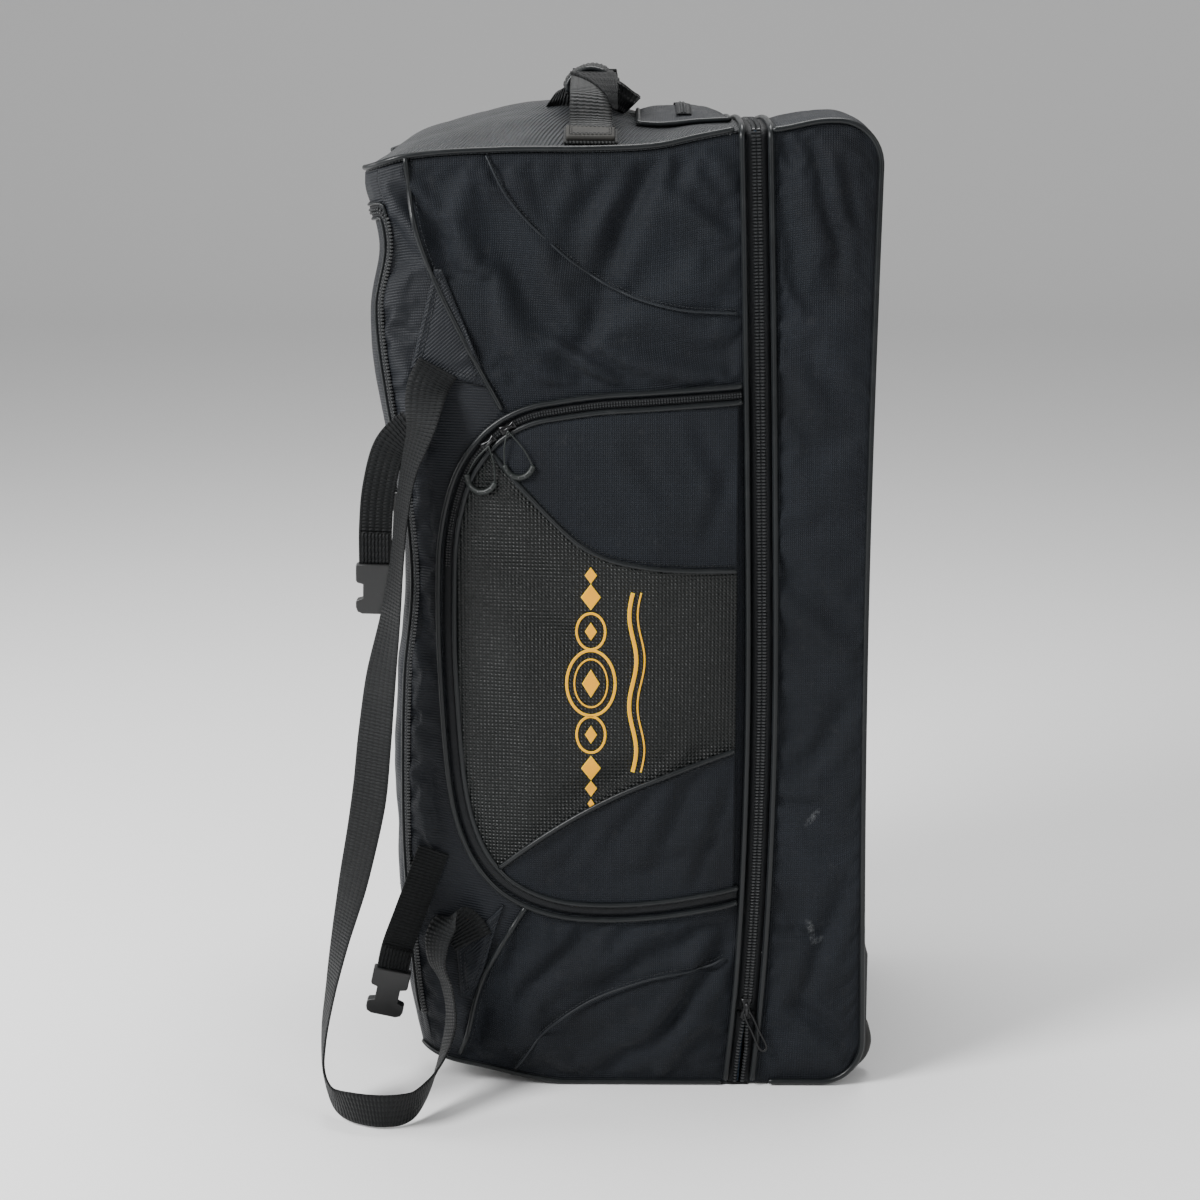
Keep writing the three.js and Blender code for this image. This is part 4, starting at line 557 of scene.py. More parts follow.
def woven(name, dark, light, roughness, kind, pitch, depth, sheen=0.25, wear=0.0, specular=0.25, marks=()):
    """Cloth, coated cloth or webbing: threads from the flat coordinates, soft variation from noise, and the
    thread height painted into the colour as relief shade and highlight.
    """
    material, tree, shader = new_material(name)
    flat = add_node(tree, "ShaderNodeUVMap", uv_map="weave").outputs["UV"]
    split = add_node(tree, "ShaderNodeSeparateXYZ", {0: flat})
    u, v = split.outputs[0], split.outputs[1]
    place = add_node(tree, "ShaderNodeTexCoord").outputs["Object"]
    broad = noise_of(tree, place, 9.0, 4.0, 0.6)
    fine = noise_of(tree, place, 900.0, 2.0)
    lint = noise_of(tree, place, 60.0, 6.0, 0.7)
    if kind == "grid":
        a = thread_wave(tree, u, pitch)
        b = thread_wave(tree, v, pitch)
        threads = calc(tree, "MULTIPLY", a, b)
        ribs = calc(
            tree, "MAXIMUM", thread_wave(tree, u, pitch * 4, 10.0), thread_wave(tree, v, pitch * 4, 10.0))
        height = calc(tree, "MULTIPLY_ADD", ribs, 0.22)
        tree.links.new(threads, height.node.inputs[2])
    elif kind == "ribs":
        a = thread_wave(tree, v, pitch)
        b = thread_wave(tree, u, pitch * 0.6)
        height = calc(tree, "MULTIPLY_ADD", a, 0.75)
        tree.links.new(calc(tree, "MULTIPLY", b, 0.25), height.node.inputs[2])
    elif kind == "twill":
        slanted = calc(tree, "ADD", u, calc(tree, "MULTIPLY", v, 0.3))
        height = thread_wave(tree, slanted, pitch)
    elif kind == "dots":
        a = thread_wave(tree, u, pitch, 0.6)
        b = thread_wave(tree, v, pitch, 0.6)
        height = calc(tree, "MULTIPLY", a, b)
    elif kind == "webbing":
        edge = calc(
            tree, "MULTIPLY", calc(tree, "ABSOLUTE", calc(tree, "SINE", calc(tree, "MULTIPLY", v, 520.0))),
            0.35)
        a = thread_wave(tree, calc(tree, "ADD", u, calc(tree, "MULTIPLY", edge, 0.0012)), pitch)
        height = calc(tree, "ADD", calc(tree, "MULTIPLY", a, 0.9), edge)
    else:
        height = lint
    total = calc(tree, "ADD", height, calc(tree, "MULTIPLY", fine, 0.35))
    normal = add_node(tree, "ShaderNodeBump", {"Height": total, "Distance": depth * METRE, "Strength": 1.0})
    tone = blend(tree, remap(tree, broad, 0.3, 0.7, 0.0, 1.0), (*dark, 1), (*light, 1))
    # Colour follows the height: painted shade in the hollows between threads, ribs and dots, and painted
    # highlight on the raised ones; for plain cloth the height is lint noise, a random tone.
    shade_and_tone_gain = {"dots": (1.7, 0.4), "webbing": (1.2, 0.4), "twill": (1.2, 0.45)}.get(kind, (0.7, 0.6))
    relief_shade_and_tone = calc(tree, "MULTIPLY_ADD", height, shade_and_tone_gain[0])
    relief_shade_and_tone.node.inputs[2].default_value = shade_and_tone_gain[1]
    colour = add_node(tree, "ShaderNodeMixRGB", {0: 1.0, 1: tone, 2: relief_shade_and_tone}, blend_type="MULTIPLY")
    out = colour.outputs[0]
    if wear:
        out = blend(tree, remap(tree, lint, 0.58, 0.78, 0.0, wear), out, DUST)
    if marks:
        out = scuffed(tree, place, marks, out)
    rough = remap(tree, lint, 0.25, 0.75, roughness - 0.07, roughness + 0.07)
    tree.links.new(out, shader.inputs["Base Color"])
    tree.links.new(rough, shader.inputs["Roughness"])
    tree.links.new(normal.outputs[0], shader.inputs["Normal"])
    shader.inputs["Specular IOR Level"].default_value = specular
    shader.inputs["Sheen Weight"].default_value = sheen
    shader.inputs["Sheen Roughness"].default_value = 0.45
    return material


def moulded(name, dark, light, roughness, grain, depth, metallic=0.0, specular=0.5):
    """Plastic, rubber or metal: fine grain, soft tone changes and a lighter colour on sharp convex edges."""
    material, tree, shader = new_material(name)
    place = add_node(tree, "ShaderNodeTexCoord").outputs["Object"]
    fine = noise_of(tree, place, grain, 3.0)
    broad = noise_of(tree, place, 35.0, 5.0, 0.65)
    tone = blend(tree, broad, (*dark, 1), (*light, 1))
    edges = add_node(tree, "ShaderNodeNewGeometry").outputs["Pointiness"]
    # The colour is lighter where the surface is sharply convex, found by pointiness.
    edge_colour = tuple(min(1, 2.2 * c + 0.02) for c in light) + (1,)
    edge_lightened = blend(tree, remap(tree, edges, 0.53, 0.62, 0.0, 0.5), tone, edge_colour)
    rough = remap(tree, broad, 0.3, 0.7, roughness - 0.08, roughness + 0.08)
    normal = add_node(tree, "ShaderNodeBump", {"Height": fine, "Distance": depth * METRE, "Strength": 1.0})
    tree.links.new(edge_lightened, shader.inputs["Base Color"])
    tree.links.new(rough, shader.inputs["Roughness"])
    tree.links.new(normal.outputs[0], shader.inputs["Normal"])
    shader.inputs["Metallic"].default_value = metallic
    shader.inputs["Specular IOR Level"].default_value = specular
    return material


CLOTH_DARK, CLOTH_LIGHT = (0.0029, 0.0043, 0.0070), (0.0064, 0.0090, 0.0134)
SCUFFS = [
    (0.172, 0.265, 0.01, 0.003, 50), (0.171, 0.158, 0.008, 0.0025, -70), (0.179, 0.144, 0.006, 0.0025, 20),
    (0.173, 0.154, 0.003, 0.01, 8)]
RIPSTOP = woven("ripstop_cloth", CLOTH_DARK, CLOTH_LIGHT, 0.66, "grid", 2.0, 0.5, 0.04, 0.05, 0.2)
SCUFFED = woven(
    "scuffed_cloth", CLOTH_DARK, CLOTH_LIGHT, 0.66, "grid", 2.0, 0.5, 0.04, 0.06, 0.2, marks=SCUFFS)
RIBBED = woven(
    "ribbed_cloth", (0.0022, 0.0033, 0.0056), (0.0045, 0.0063, 0.0098), 0.56, "ribs", 2.6, 0.45, 0.03, 0.04)
END_CLOTH = woven(
    "end_cloth", (0.0050, 0.0064, 0.0082), (0.0125, 0.0148, 0.0175), 0.38, "twill", 3.6, 1.2, 0.05, 0.08,
    0.45)
COATED = woven(
    "coated_cloth", (0.0013, 0.0020, 0.0020), (0.0029, 0.0040, 0.0039), 0.4, "dots", 3.4, 1.1, 0.0, 0.015,
    0.3)
TARPAULIN = woven(
    "bottom_cloth", (0.004, 0.0044, 0.0048), (0.008, 0.0084, 0.009), 0.5, "dots", 2.4, 0.25, 0.03, 0.25)
WEB = woven(
    "webbing", (0.0010, 0.0013, 0.0016), (0.0028, 0.0034, 0.0038), 0.62, "webbing", 3.2, 1.0, 0.015, 0.02,
    0.2)
GREY_WEB = woven(
    "haul_webbing", (0.0062, 0.0070, 0.0072), (0.0145, 0.0152, 0.0152), 0.6, "webbing", 3.2, 1.0, 0.05, 0.18)
TAB = woven(
    "haul_tab_cloth", (0.020, 0.0195, 0.0175), (0.034, 0.0325, 0.029), 0.7, "ribs", 2.0, 0.3, 0.05, 0.1)
PIPING = woven(
    "piping", (0.0032, 0.0044, 0.0052), (0.0070, 0.0086, 0.0096), 0.36, "plain", 1.0, 0.1, 0.03, 0.04, 0.3)
TAPE = woven(
    "zip_tape", (0.0022, 0.0029, 0.0040), (0.0044, 0.0053, 0.0068), 0.58, "ribs", 1.4, 0.2, 0.02, 0.03)
THREAD = woven(
    "stitching", (0.0046, 0.0062, 0.0086), (0.0105, 0.0130, 0.0162), 0.5, "plain", 1.0, 0.1, 0.05, 0.03)
INNER = woven("inner_cloth", (0.018, 0.036, 0.064), (0.03, 0.052, 0.085), 0.6, "grid", 1.4, 0.15, 0.1, 0.03)
TEETH = moulded("zip_teeth", (0.0045, 0.0052, 0.006), (0.012, 0.0128, 0.0136), 0.3, 500.0, 0.03)
PLASTIC = moulded("buckle_plastic", (0.0055, 0.0058, 0.006), (0.011, 0.0114, 0.0118), 0.34, 900.0, 0.05)
SLIDER_METAL = moulded("slider_metal", (0.008, 0.0085, 0.009), (0.02, 0.02, 0.021), 0.26, 700.0, 0.03, 0.7)
GRIP_RUBBER = moulded(
    "pull_rubber", (0.0045, 0.0062, 0.0056), (0.010, 0.013, 0.012), 0.45, 800.0, 0.05, 0.0, 0.35)
HOUSING = moulded("housing_plastic", (0.0065, 0.007, 0.0075), (0.013, 0.0136, 0.014), 0.46, 1200.0, 0.12)
HUB = moulded("hub_plastic", (0.012, 0.012, 0.012), (0.024, 0.024, 0.024), 0.42, 900.0, 0.06)
RUBBER = moulded("tyre_rubber", (0.008, 0.008, 0.008), (0.02, 0.0195, 0.018), 0.7, 700.0, 0.15)
STEEL = moulded("axle_steel", (0.45, 0.45, 0.46), (0.6, 0.6, 0.6), 0.3, 400.0, 0.03, 1.0)
GOLD = moulded("gold_print", (0.70, 0.29, 0.006), (0.88, 0.42, 0.015), 0.5, 900.0, 0.05, 0.0, 0.12)


def dress(obj, slot, *nodes, body="bag"):
    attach(obj, body)
    if nodes:
        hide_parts(*nodes)
    return obj


def piece(name, parts, material, slot, *nodes, body="bag", smooth_faces=True):
    """A mesh piece on its body, with the frame nodes that it stands for; its slot is not used."""
    return dress(fast_object(name, parts, material, smooth_faces), slot, *nodes, body=body)


# Folds, wrinkles and the cloth simulation
RELIEF = {}


def keep_relief(side, us, vs, plain, shaped):
    RELIEF[side] = (us, vs, (shaped[..., 1] - plain[..., 1]) * side)


def relief_at(x, z, side):
    """How far the dressed cloth of a side panel stands out from its plain form."""
    us, vs, field = RELIEF[side]
    x, z = np.broadcast_arrays(np.asarray(x, float), np.asarray(z, float))
    low, high = bottom_z(x) + SEAM, top_z(x) - SEAM
    i = np.clip(np.interp(share(x), us, np.arange(len(us))), 0, len(us) - 1.001)
    j = np.clip(np.interp((z - low) / (high - low), vs, np.arange(len(vs))), 0, len(vs) - 1.001)
    i0, j0 = i.astype(int), j.astype(int)
    fi, fj = i - i0, j - j0
    return mix(
        mix(field[j0, i0], field[j0, i0 + 1], fi), mix(field[j0 + 1, i0], field[j0 + 1, i0 + 1], fi), fj)


def on_cloth(x, z, lift, side=-1):
    at = on_side(x, z, lift, side)
    at[..., 1] += side * relief_at(x, z, side)
    return at


def over_cloth(x, z, lift):
    """Like on_cloth on the near side, but clear of the highest cloth within reach."""
    reach = (-5.0, 0, 5.0)
    near = [relief_at(x + dx, z + dz, -1) for dx in reach for dz in reach]
    at = on_side(x, z, lift)
    at[..., 1] -= np.max(near, axis=0)
    return at


def ribbed_left(obj):
    """Ribbed cloth on the lid side of the diagonal seams, fine squares on the other."""
    edge = sorted(
        [(z, x) for x, z in UPPER_DIAGONAL + LOWER_DIAGONAL] + [(250, -156), (400, -166), (560, -160)])
    mesh = obj.data
    mesh.materials.append(RIBBED)
    centres = np.empty(len(mesh.polygons) * 3)
    mesh.polygons.foreach_get("center", centres)
    centres = centres.reshape(-1, 3) / METRE
    bound = np.interp(centres[:, 2], [z for z, _ in edge], [x for _, x in edge])
    mesh.polygons.foreach_set("material_index", (centres[:, 0] < bound).astype(np.int32))
    mesh.update()


def fold_field(grid, folds, edge, depth, seed):
    """Depth of the folds over a side panel, each a soft trough beside a low ridge."""
    drift = 7.0
    x = grid[..., 0] + drift * wander(grid, 60.0, seed)
    z = grid[..., 2] + drift * wander(grid, 60.0, seed + 5)
    total = np.zeros(grid.shape[:-1])
    for u1, v1, u2, v2, width, deep in folds:
        a = np.array([edge + u1 * depth, v1 * BAG_HEIGHT])
        b = np.array([edge + u2 * depth, v2 * BAG_HEIGHT])
        span = b - a
        length = np.linalg.norm(span)
        t = ((x - a[0]) * span[0] + (z - a[1]) * span[1]) / length**2
        off = ((x - a[0]) * span[1] - (z - a[1]) * span[0]) / length
        taper = smooth(t, -0.12, 0.22) * (1 - smooth(t, 0.7, 1.1))
        s = off / width
        trough = np.exp(-(s**2)) - 0.55 * np.exp(-((s - 1.7) ** 2)) - 0.35 * np.exp(-((s + 1.8) ** 2))
        total += deep * taper * trough
    return total


CLOTH_FRAMES = 14
CLOTH_TRAVEL = 9.0
COARSE_CLOTH = 2.6


def simulate(grid, hold, slack):
    """Cloth with a little spare length, held where hold is 1, settled by Blender's cloth solver."""
    rows, cols = grid.shape[:2]
    index = np.arange(rows * cols).reshape(rows, cols)
    quads = np.stack([index[:-1, :-1], index[:-1, 1:], index[1:, 1:], index[1:, :-1]], -1).reshape(-1, 4)
    mesh = bpy.data.meshes.new("cloth_trial")
    scale = 0.01
    mesh.from_pydata([tuple(p) for p in grid.reshape(-1, 3) * scale], [], [tuple(map(int, q)) for q in quads])
    obj = placed("cloth_trial", mesh)
    group = obj.vertex_groups.new(name="held")
    for k, weight in enumerate(hold.ravel()):
        if weight > 0:
            group.add([k], float(weight), "REPLACE")
    modifier = obj.modifiers.new("Cloth", "CLOTH")
    settings = modifier.settings
    settings.quality = 5
    settings.mass = 0.25
    settings.tension_stiffness = 25
    settings.compression_stiffness = 25
    settings.shear_stiffness = 8
    settings.bending_stiffness = 1.2
    settings.vertex_group_mass = "held"
    settings.shrink_min = -slack
    settings.effector_weights.gravity = 0.6
    modifier.point_cache.frame_end = CLOTH_FRAMES
    scene = bpy.context.scene
    for number in range(1, CLOTH_FRAMES + 1):
        scene.frame_set(number)
    shown = obj.evaluated_get(bpy.context.evaluated_depsgraph_get()).to_mesh()
    found = np.empty(rows * cols * 3)
    shown.vertices.foreach_get("co", found)
    moved = found.reshape(rows, cols, 3) / scale - grid
    scene.frame_set(1)
    bpy.data.objects.remove(obj)
    length = np.linalg.norm(moved, axis=-1, keepdims=True)
    return moved * np.minimum(1, CLOTH_TRAVEL / np.maximum(length, 1e-9))


def finer(field, rows, cols):
    """A coarse grid of vectors read smoothly at a finer grid of the same extent."""
    def along(values, count, axis):
        values = np.moveaxis(values, axis, 0)
        n = len(values)
        t = np.linspace(0, n - 1, count)
        i = np.clip(t.astype(int), 0, n - 2)
        f = (t - i).reshape((-1,) + (1,) * (values.ndim - 1))
        get = lambda k: values[np.clip(i + k, 0, n - 1)]
        out = (get(0) + 0.5 * f * (get(1) - get(-1) + f * (2 * get(-1) - 5 * get(0) + 4 * get(1) - get(2)
               + f * (3 * (get(0) - get(1)) + get(2) - get(-1)))))
        return np.moveaxis(out, 0, axis)
    return along(along(field, rows, 0), cols, 1)


def settled(place, us, vs, calm, slack, folds, seed, inside=MAIN_MIDDLE):
    """Fine grid of a panel with its photographed folds and the wrinkles that the simulation gives."""
    fine = place(us[None, :], vs[:, None])
    normals = outward(fine, inside)
    hush = calm(fine)
    shape = fine - normals * (folds(fine) * hush)[..., None]
    rows, cols = max(8, int(len(vs) / COARSE_CLOTH)), max(8, int(len(us) / COARSE_CLOTH))
    start = finer(shape, rows, cols)
    hold = 1 - finer(hush[..., None], rows, cols)[..., 0]
    hold = np.clip(hold, 0, 1) ** 0.7
    hold[[0, -1], :] = 1
    hold[:, [0, -1]] = 1
    moved = finer(simulate(start, hold, slack), len(vs), len(us))
    shape = shape + moved * smooth(hush, 0, 0.5)[..., None]
    ripple = wander(fine, 26.0, seed) * 0.9 + wander(fine, 11.0, seed + 3) * 0.28
    return shape + normals * (ripple * hush)[..., None]


def far_calm(grid):
    """Where a side's cloth may fold: 0 at its seams and under the anchor patches."""
    x, z = grid[..., 0], grid[..., 2]
    ends = np.minimum(z - bottom_z(x), top_z(x) - z)
    lid, rim = lid_x(z / BAG_HEIGHT) + 2, rim_x(z / BAG_HEIGHT)
    calm = smooth(x - lid, 2, 16) * smooth(rim - x, 2, 16) * smooth(ends, 3, 22)
    for corners in (UPPER_PATCH, LOWER_PATCH):
        xs = [RIM_X - a * MAIN_DEPTH for a, _ in corners]
        zs = [b * BAG_HEIGHT for _, b in corners]
        past = np.maximum(np.maximum(min(xs) - x, x - max(xs)), np.maximum(min(zs) - z, z - max(zs)))
        calm = calm * smooth(past, 0, 12)
    return calm


def near_calm(grid):
    """The same for the near side, where the pocket lies as well."""
    x, z = grid[..., 0], grid[..., 2]
    outside = np.maximum(np.maximum(POCKET_BOTTOM - 8 - z, z - POCKET_TOP - 8), RIM_X - POCKET_DEPTH - 10 - x)
    return smooth(outside, 3, 16) * far_calm(grid)


def base_calm(grid):
    x, z = grid[..., 0], grid[..., 2]
    ends = np.minimum(z, BAG_HEIGHT - z)
    corner = np.minimum(ends, SPINE_X - x)
    return smooth(x - BASE_X, 2, 14) * smooth(corner, 2, 18)


def seam_dip(grid, routes):
    """Shallow valley that a row of stitches pulls into the cloth."""
    width, depth = 4.0, 1.6
    x, z = grid[..., 0], grid[..., 2]
    nearest = np.full(x.shape, 1e9)
    for route in routes:
        line = curve([(a, 0, b) for a, b in route], 12.0)
        for a, b in zip(line[:-1], line[1:]):
            span = b - a
            t = np.clip(((x - a[0]) * span[0] + (z - a[2]) * span[2]) / (span @ span), 0, 1)
            away = np.hypot(x - a[0] - t * span[0], z - a[2] - t * span[2])
            nearest = np.minimum(nearest, away)
    return depth * np.exp(-((nearest / width) ** 2))


def side_panels():
    """Main and base cloth of both sides; the near ones are finer and have more folds."""
    panels = (
        ("near", -1, (96, 16, 300), near_calm, MAIN_FOLDS, 1.0, 2.0, 3.0),
        ("far", 1, (56, 10, 170), far_calm, MAIN_FOLDS[::2], 0.8, 9.0, 11.0))
    for name, side, (flat, turned, rows), calm, folds, depth, fold_seed, seed in panels:
        us = np.concatenate([np.linspace(0, 1, flat), np.linspace(1, LID_EDGE, turned)[1:]])
        vs = np.linspace(0, 1, rows)
        plain = main_side(us[None, :], vs[:, None], side, 0, SEAM)
        grid = settled(
            lambda u, v, s=side: main_side(u, v, s, 0, SEAM), us, vs, calm, 0.027,
            lambda g, f=folds, k=fold_seed, d=depth: fold_field(g, f, RIM_X, -MAIN_DEPTH, k) * d, seed)
        if side < 0:
            grid[..., 1] += seam_dip(grid, [UPPER_STITCHED, LOWER_STITCHED])
        keep_relief(side, us, vs, plain, grid)
        cloth = fast_object(f"main_{name}_cloth", [cloth_slab(grid, MAIN_MIDDLE)], RIPSTOP)
        if side < 0:
            ribbed_left(cloth)
        dress(cloth, "main_cloth", f"main_{name}_panel")
    ts = np.concatenate([np.linspace(0, 1, 30), np.linspace(1, 2, 16)[1:]])
    for name, side, seed, count in (("near", -1, 5.0, 300), ("far", 1, 15.0, 160)):
        vs = np.linspace(0, 1, count)
        folds = BASE_FOLDS if side < 0 else BASE_FOLDS[1::2]
        grid = settled(
            lambda t, v, s=side: base_side(t, v, s, 0, SEAM), ts, vs, base_calm, 0.016,
            lambda g, f=folds, k=seed: fold_field(g, f, BASE_X, BASE_DEPTH, k), seed, BASE_MIDDLE)
        piece(
            f"base_{name}_cloth", [cloth_slab(grid, BASE_MIDDLE)], SCUFFED if side < 0 else RIPSTOP,
            "main_cloth", f"base_{name}_panel")


def end_half(x, v):
    past = np.maximum(0, lid_x(v) + LID_CORNER - x)
    return HALF - LID_CORNER + np.sqrt(np.maximum(0, LID_CORNER**2 - np.minimum(past, LID_CORNER) ** 2))


def end_columns(v, flat, turned):
    seam = lid_x(v) + LID_CORNER
    straight = mix(rim_x(v), seam, np.linspace(0, 1, flat))
    return np.concatenate([straight, seam - LID_CORNER * np.sin(np.linspace(0, 1, turned)[1:] * math.pi / 2)])


def top_and_bottom():
    w = np.linspace(-1, 1, 110)
    x = end_columns(1.0, 70, 14)
    half = end_half(x, 1.0)[None, :]
    y = w[:, None] * half
    grid = join(x[None, :], y, dome_z(x[None, :], w[:, None] * HALF))
    edge = smooth(1 - np.abs(w[:, None]) * np.ones_like(grid[..., 0]), 0, 0.12)
    edge = edge * smooth(RIM_X - grid[..., 0], 2, 16) * smooth(grid[..., 0] - LID_X - 2, 2, 22)
    grid[..., 2] += edge * (2.2 * wander(grid, 55.0, 21.0) + 0.8 * wander(grid, 20.0, 23.0))
    sag = np.exp(-((grid[..., 0] - HAUL_X) / 34) ** 2) * np.exp(-((np.abs(grid[..., 1]) - 150) / 26) ** 2)
    grid[..., 2] -= 2.0 * sag
    piece("top_end_cloth", [cloth_slab(grid, (0, 0, 0))], END_CLOTH, "end_cloth", "top_end_panel")
    x = np.concatenate([[rim_x(0.0) + ZIP_BAND - GAP], end_columns(0.0, 40, 12)])
    w = np.linspace(-1, 1, 50)
    half = end_half(x, 0.0)[None, :]
    grid = join(x[None, :], w[:, None] * half, bottom_z(x)[None, :])
    piece("bottom_end_cloth", [cloth_slab(grid, MAIN_MIDDLE)], TARPAULIN, "coated_cloth", "bottom_end_panel")


def base_outline(first, over, low, down):
    """Line over the base's top and down its spine in the middle plane, with its outward directions."""
    top = base_side(np.linspace(first, 2, over), 1.0, -1, 0, 0)
    z = np.linspace(BAG_HEIGHT - BASE_CORNER, low, down)[1:]
    v = (z - BASE_CORNER) / (BAG_HEIGHT - 2 * BASE_CORNER)
    x = np.concatenate([top[:, 0], SPINE_X + base_bow(v)])
    line = join(x, 0, np.concatenate([top[:, 2], z]))
    tangent = np.gradient(line, axis=0)
    return line, unit(join(-tangent[:, 2], 0, tangent[:, 0]))


def lid_and_spine():
    ws = np.linspace(-1, 2, 90)
    vs = np.linspace(0, 1, 170)
    grid = lid_place(ws[None, :], vs[:, None], 0, SEAM)
    normals = outward(grid, MAIN_MIDDLE)
    calm = smooth(1.5 - np.abs(ws[None, :] - 0.5), 0.02, 0.5) * smooth(bump(vs[:, None], 1), 0, 0.06)
    wave = 2.6 * wander(grid, 70.0, 31.0) + 1.1 * wander(grid, 26.0, 33.0)
    gather = 1.6 * np.sin(grid[..., 2] / 11 + 2 * wander(grid, 40.0, 35.0)) * np.exp(
        -((1.5 - np.abs(ws[None, :] - 0.5) - 0.28) / 0.12) ** 2)
    grid = grid + normals * (calm * (wave + gather))[..., None]
    piece("lid_cloth", [cloth_slab(grid, MAIN_MIDDLE)], RIBBED, "main_cloth", "lid_panel")

    line, out = base_outline(0, 50, HOUSING_HEIGHT + GAP, 130)
    w = np.linspace(-1, 1, 80)
    grid = line[:, None, :] + out[:, None, :] * (SPINE_CROWN * arch(w * HALF))[None, :, None]
    grid[..., 1] = (w * HALF)[None, :]
    calm = smooth(1 - np.abs(w), 0, 0.14)[None, :] * smooth(grid[..., 0] - BASE_X, 2, 20)
    calm = calm * smooth(grid[..., 2] - HOUSING_HEIGHT, 4, 26)
    ripple = 1.5 * wander(grid, 60.0, 41.0) + 0.5 * wander(grid, 22.0, 43.0)
    grid = grid + out[:, None, :] * (calm * ripple)[..., None]
    piece("base_spine_cloth", [cloth_slab(grid, BASE_MIDDLE)], RIPSTOP, "main_cloth", "base_spine_panel")


# Zips: tape, teeth and sliders
def tooth_row(line, normals, pitch, length, width, height, aside=0.0):
    """Teeth along a line: block centres, run directions and normals, moved aside across the line."""
    run = run_along(line)
    count = int(run[-1] / pitch)
    at = (np.arange(count) + 0.5) * run[-1] / count
    centres = np.stack([np.interp(at, run, line[:, k]) for k in range(3)], -1)
    up = unit(np.stack([np.interp(at, run, normals[:, k]) for k in range(3)], -1))
    tangents = unit(np.gradient(centres, axis=0))
    across = unit(np.cross(tangents, up))
    return box_arrays(centres + across * aside, across, up, length, width, height)


def band(line, normals, across, edges, thick):
    """Strip along a line; edges are (offset across, lift) pairs from one side to the other."""
    front = np.stack([line + across * off + normals * (lift + thick) for off, lift in edges], 1)
    back = np.stack([line + across * off + normals * lift for off, lift in edges], 1)
    return slab_arrays(front, back)


def cross_of(line, normals):
    return unit(np.cross(np.gradient(line, axis=0), normals))


def rim_line(offset, out, low, high_end):
    """Line round the base zip at an offset in x: up the near side, over the top, down the far side."""
    top = float(top_z(RIM_X))
    radius = 9
    side_z = np.linspace(low, top - radius, 150)
    near = join(rim_x(side_z / top) + offset, np.full(150, -HALF - out), side_z)
    turn = np.linspace(0, math.pi / 2, 9)[1:-1]
    x_top = float(rim_x(1.0)) + offset
    around = radius + out
    corner = join(x_top, -HALF - out + around * (1 - np.cos(turn)), top - radius + around * np.sin(turn))
    y = np.linspace(-HALF + 12, HALF - 12, 70)
    over = join(x_top, y, dome_z(np.full(70, RIM_X), y) + out)
    far_corner = corner[::-1] * [1, -1, 1]
    far_z = np.linspace(top - radius, high_end, 140)
    far = join(rim_x(far_z / top) + offset, np.full(140, HALF + out), far_z)
    line = np.concatenate([near, corner, over, far_corner, far])
    normals = np.concatenate([
        np.tile([0, -1.0, 0], (150, 1)), join(0, -np.cos(turn), np.sin(turn)), np.tile([0, 0, 1.0], (70, 1)),
        join(0, np.cos(turn[::-1]), np.sin(turn[::-1])), np.tile([0, 1.0, 0], (140, 1))])
    return line, normals


TOOTH_PITCH = 3.0


def base_zip():
    line, normals = rim_line(ZIP_BAND / 2, -1.2, ZIP_OPEN_HEIGHT, SEAM)
    across = cross_of(line, normals)
    reach = ZIP_BAND / 2 - GAP
    tape = band(line, normals, across, [(-reach, 0.0), (-4.6, 0.3), (0, 0.3), (4.6, 0.3), (reach, 0.0)], 1.0)
    piece("base_zip_band", [tape], TAPE, "zip_coil", "base_zip")
    rows = [
        tooth_row(line + normals * 1.2, normals, TOOTH_PITCH, 5.0, 1.9, TEETH_RISE, side * 2.3)
        for side in (-1, 1)]
    piece("base_zip_teeth", rows, TEETH, "zip_coil", smooth_faces=False)


def open_tapes():
    """Loose tape ends below the slider, each with its teeth along the free edge."""
    t = np.linspace(0, 1, 30)
    z = mix(ZIP_OPEN_HEIGHT - GAP, SEAM + GAP, t)
    rim = rim_x(z / float(top_z(RIM_X)))
    for name, side in (("main", -1), ("base", 1)):
        width = mix(ZIP_BAND / 2 - 2 * GAP, 6.5, np.minimum(1, 2 * t))
        edge = rim + GAP if side < 0 else rim + ZIP_BAND - GAP
        lift = 3.4 * np.sin(math.pi * t)
        ks = np.linspace(0, 1, 5)
        far = edge - side * width
        x = mix(edge[:, None], far[:, None], ks[None, :])
        y = -HALF + 0.2 - ks[None, :] * lift[:, None]
        grid = join(x, y, z[:, None])
        tape = slab_arrays(grid + [0, -0.6, 0], grid + [0, 0.6, 0])
        piece(f"zip_tape_{name}", [tape], TAPE, "zip_coil", f"base_zip_tape_{name}")
        line = join(far, -HALF - 0.5 - lift, z)
        teeth = tooth_row(
            line, np.tile([0, -1.0, 0], (30, 1)), TOOTH_PITCH, 4.2, 1.9, TEETH_RISE, -side * 0.6)
        piece(f"zip_open_teeth_{name}", [teeth], TEETH, "zip_coil", smooth_faces=False)


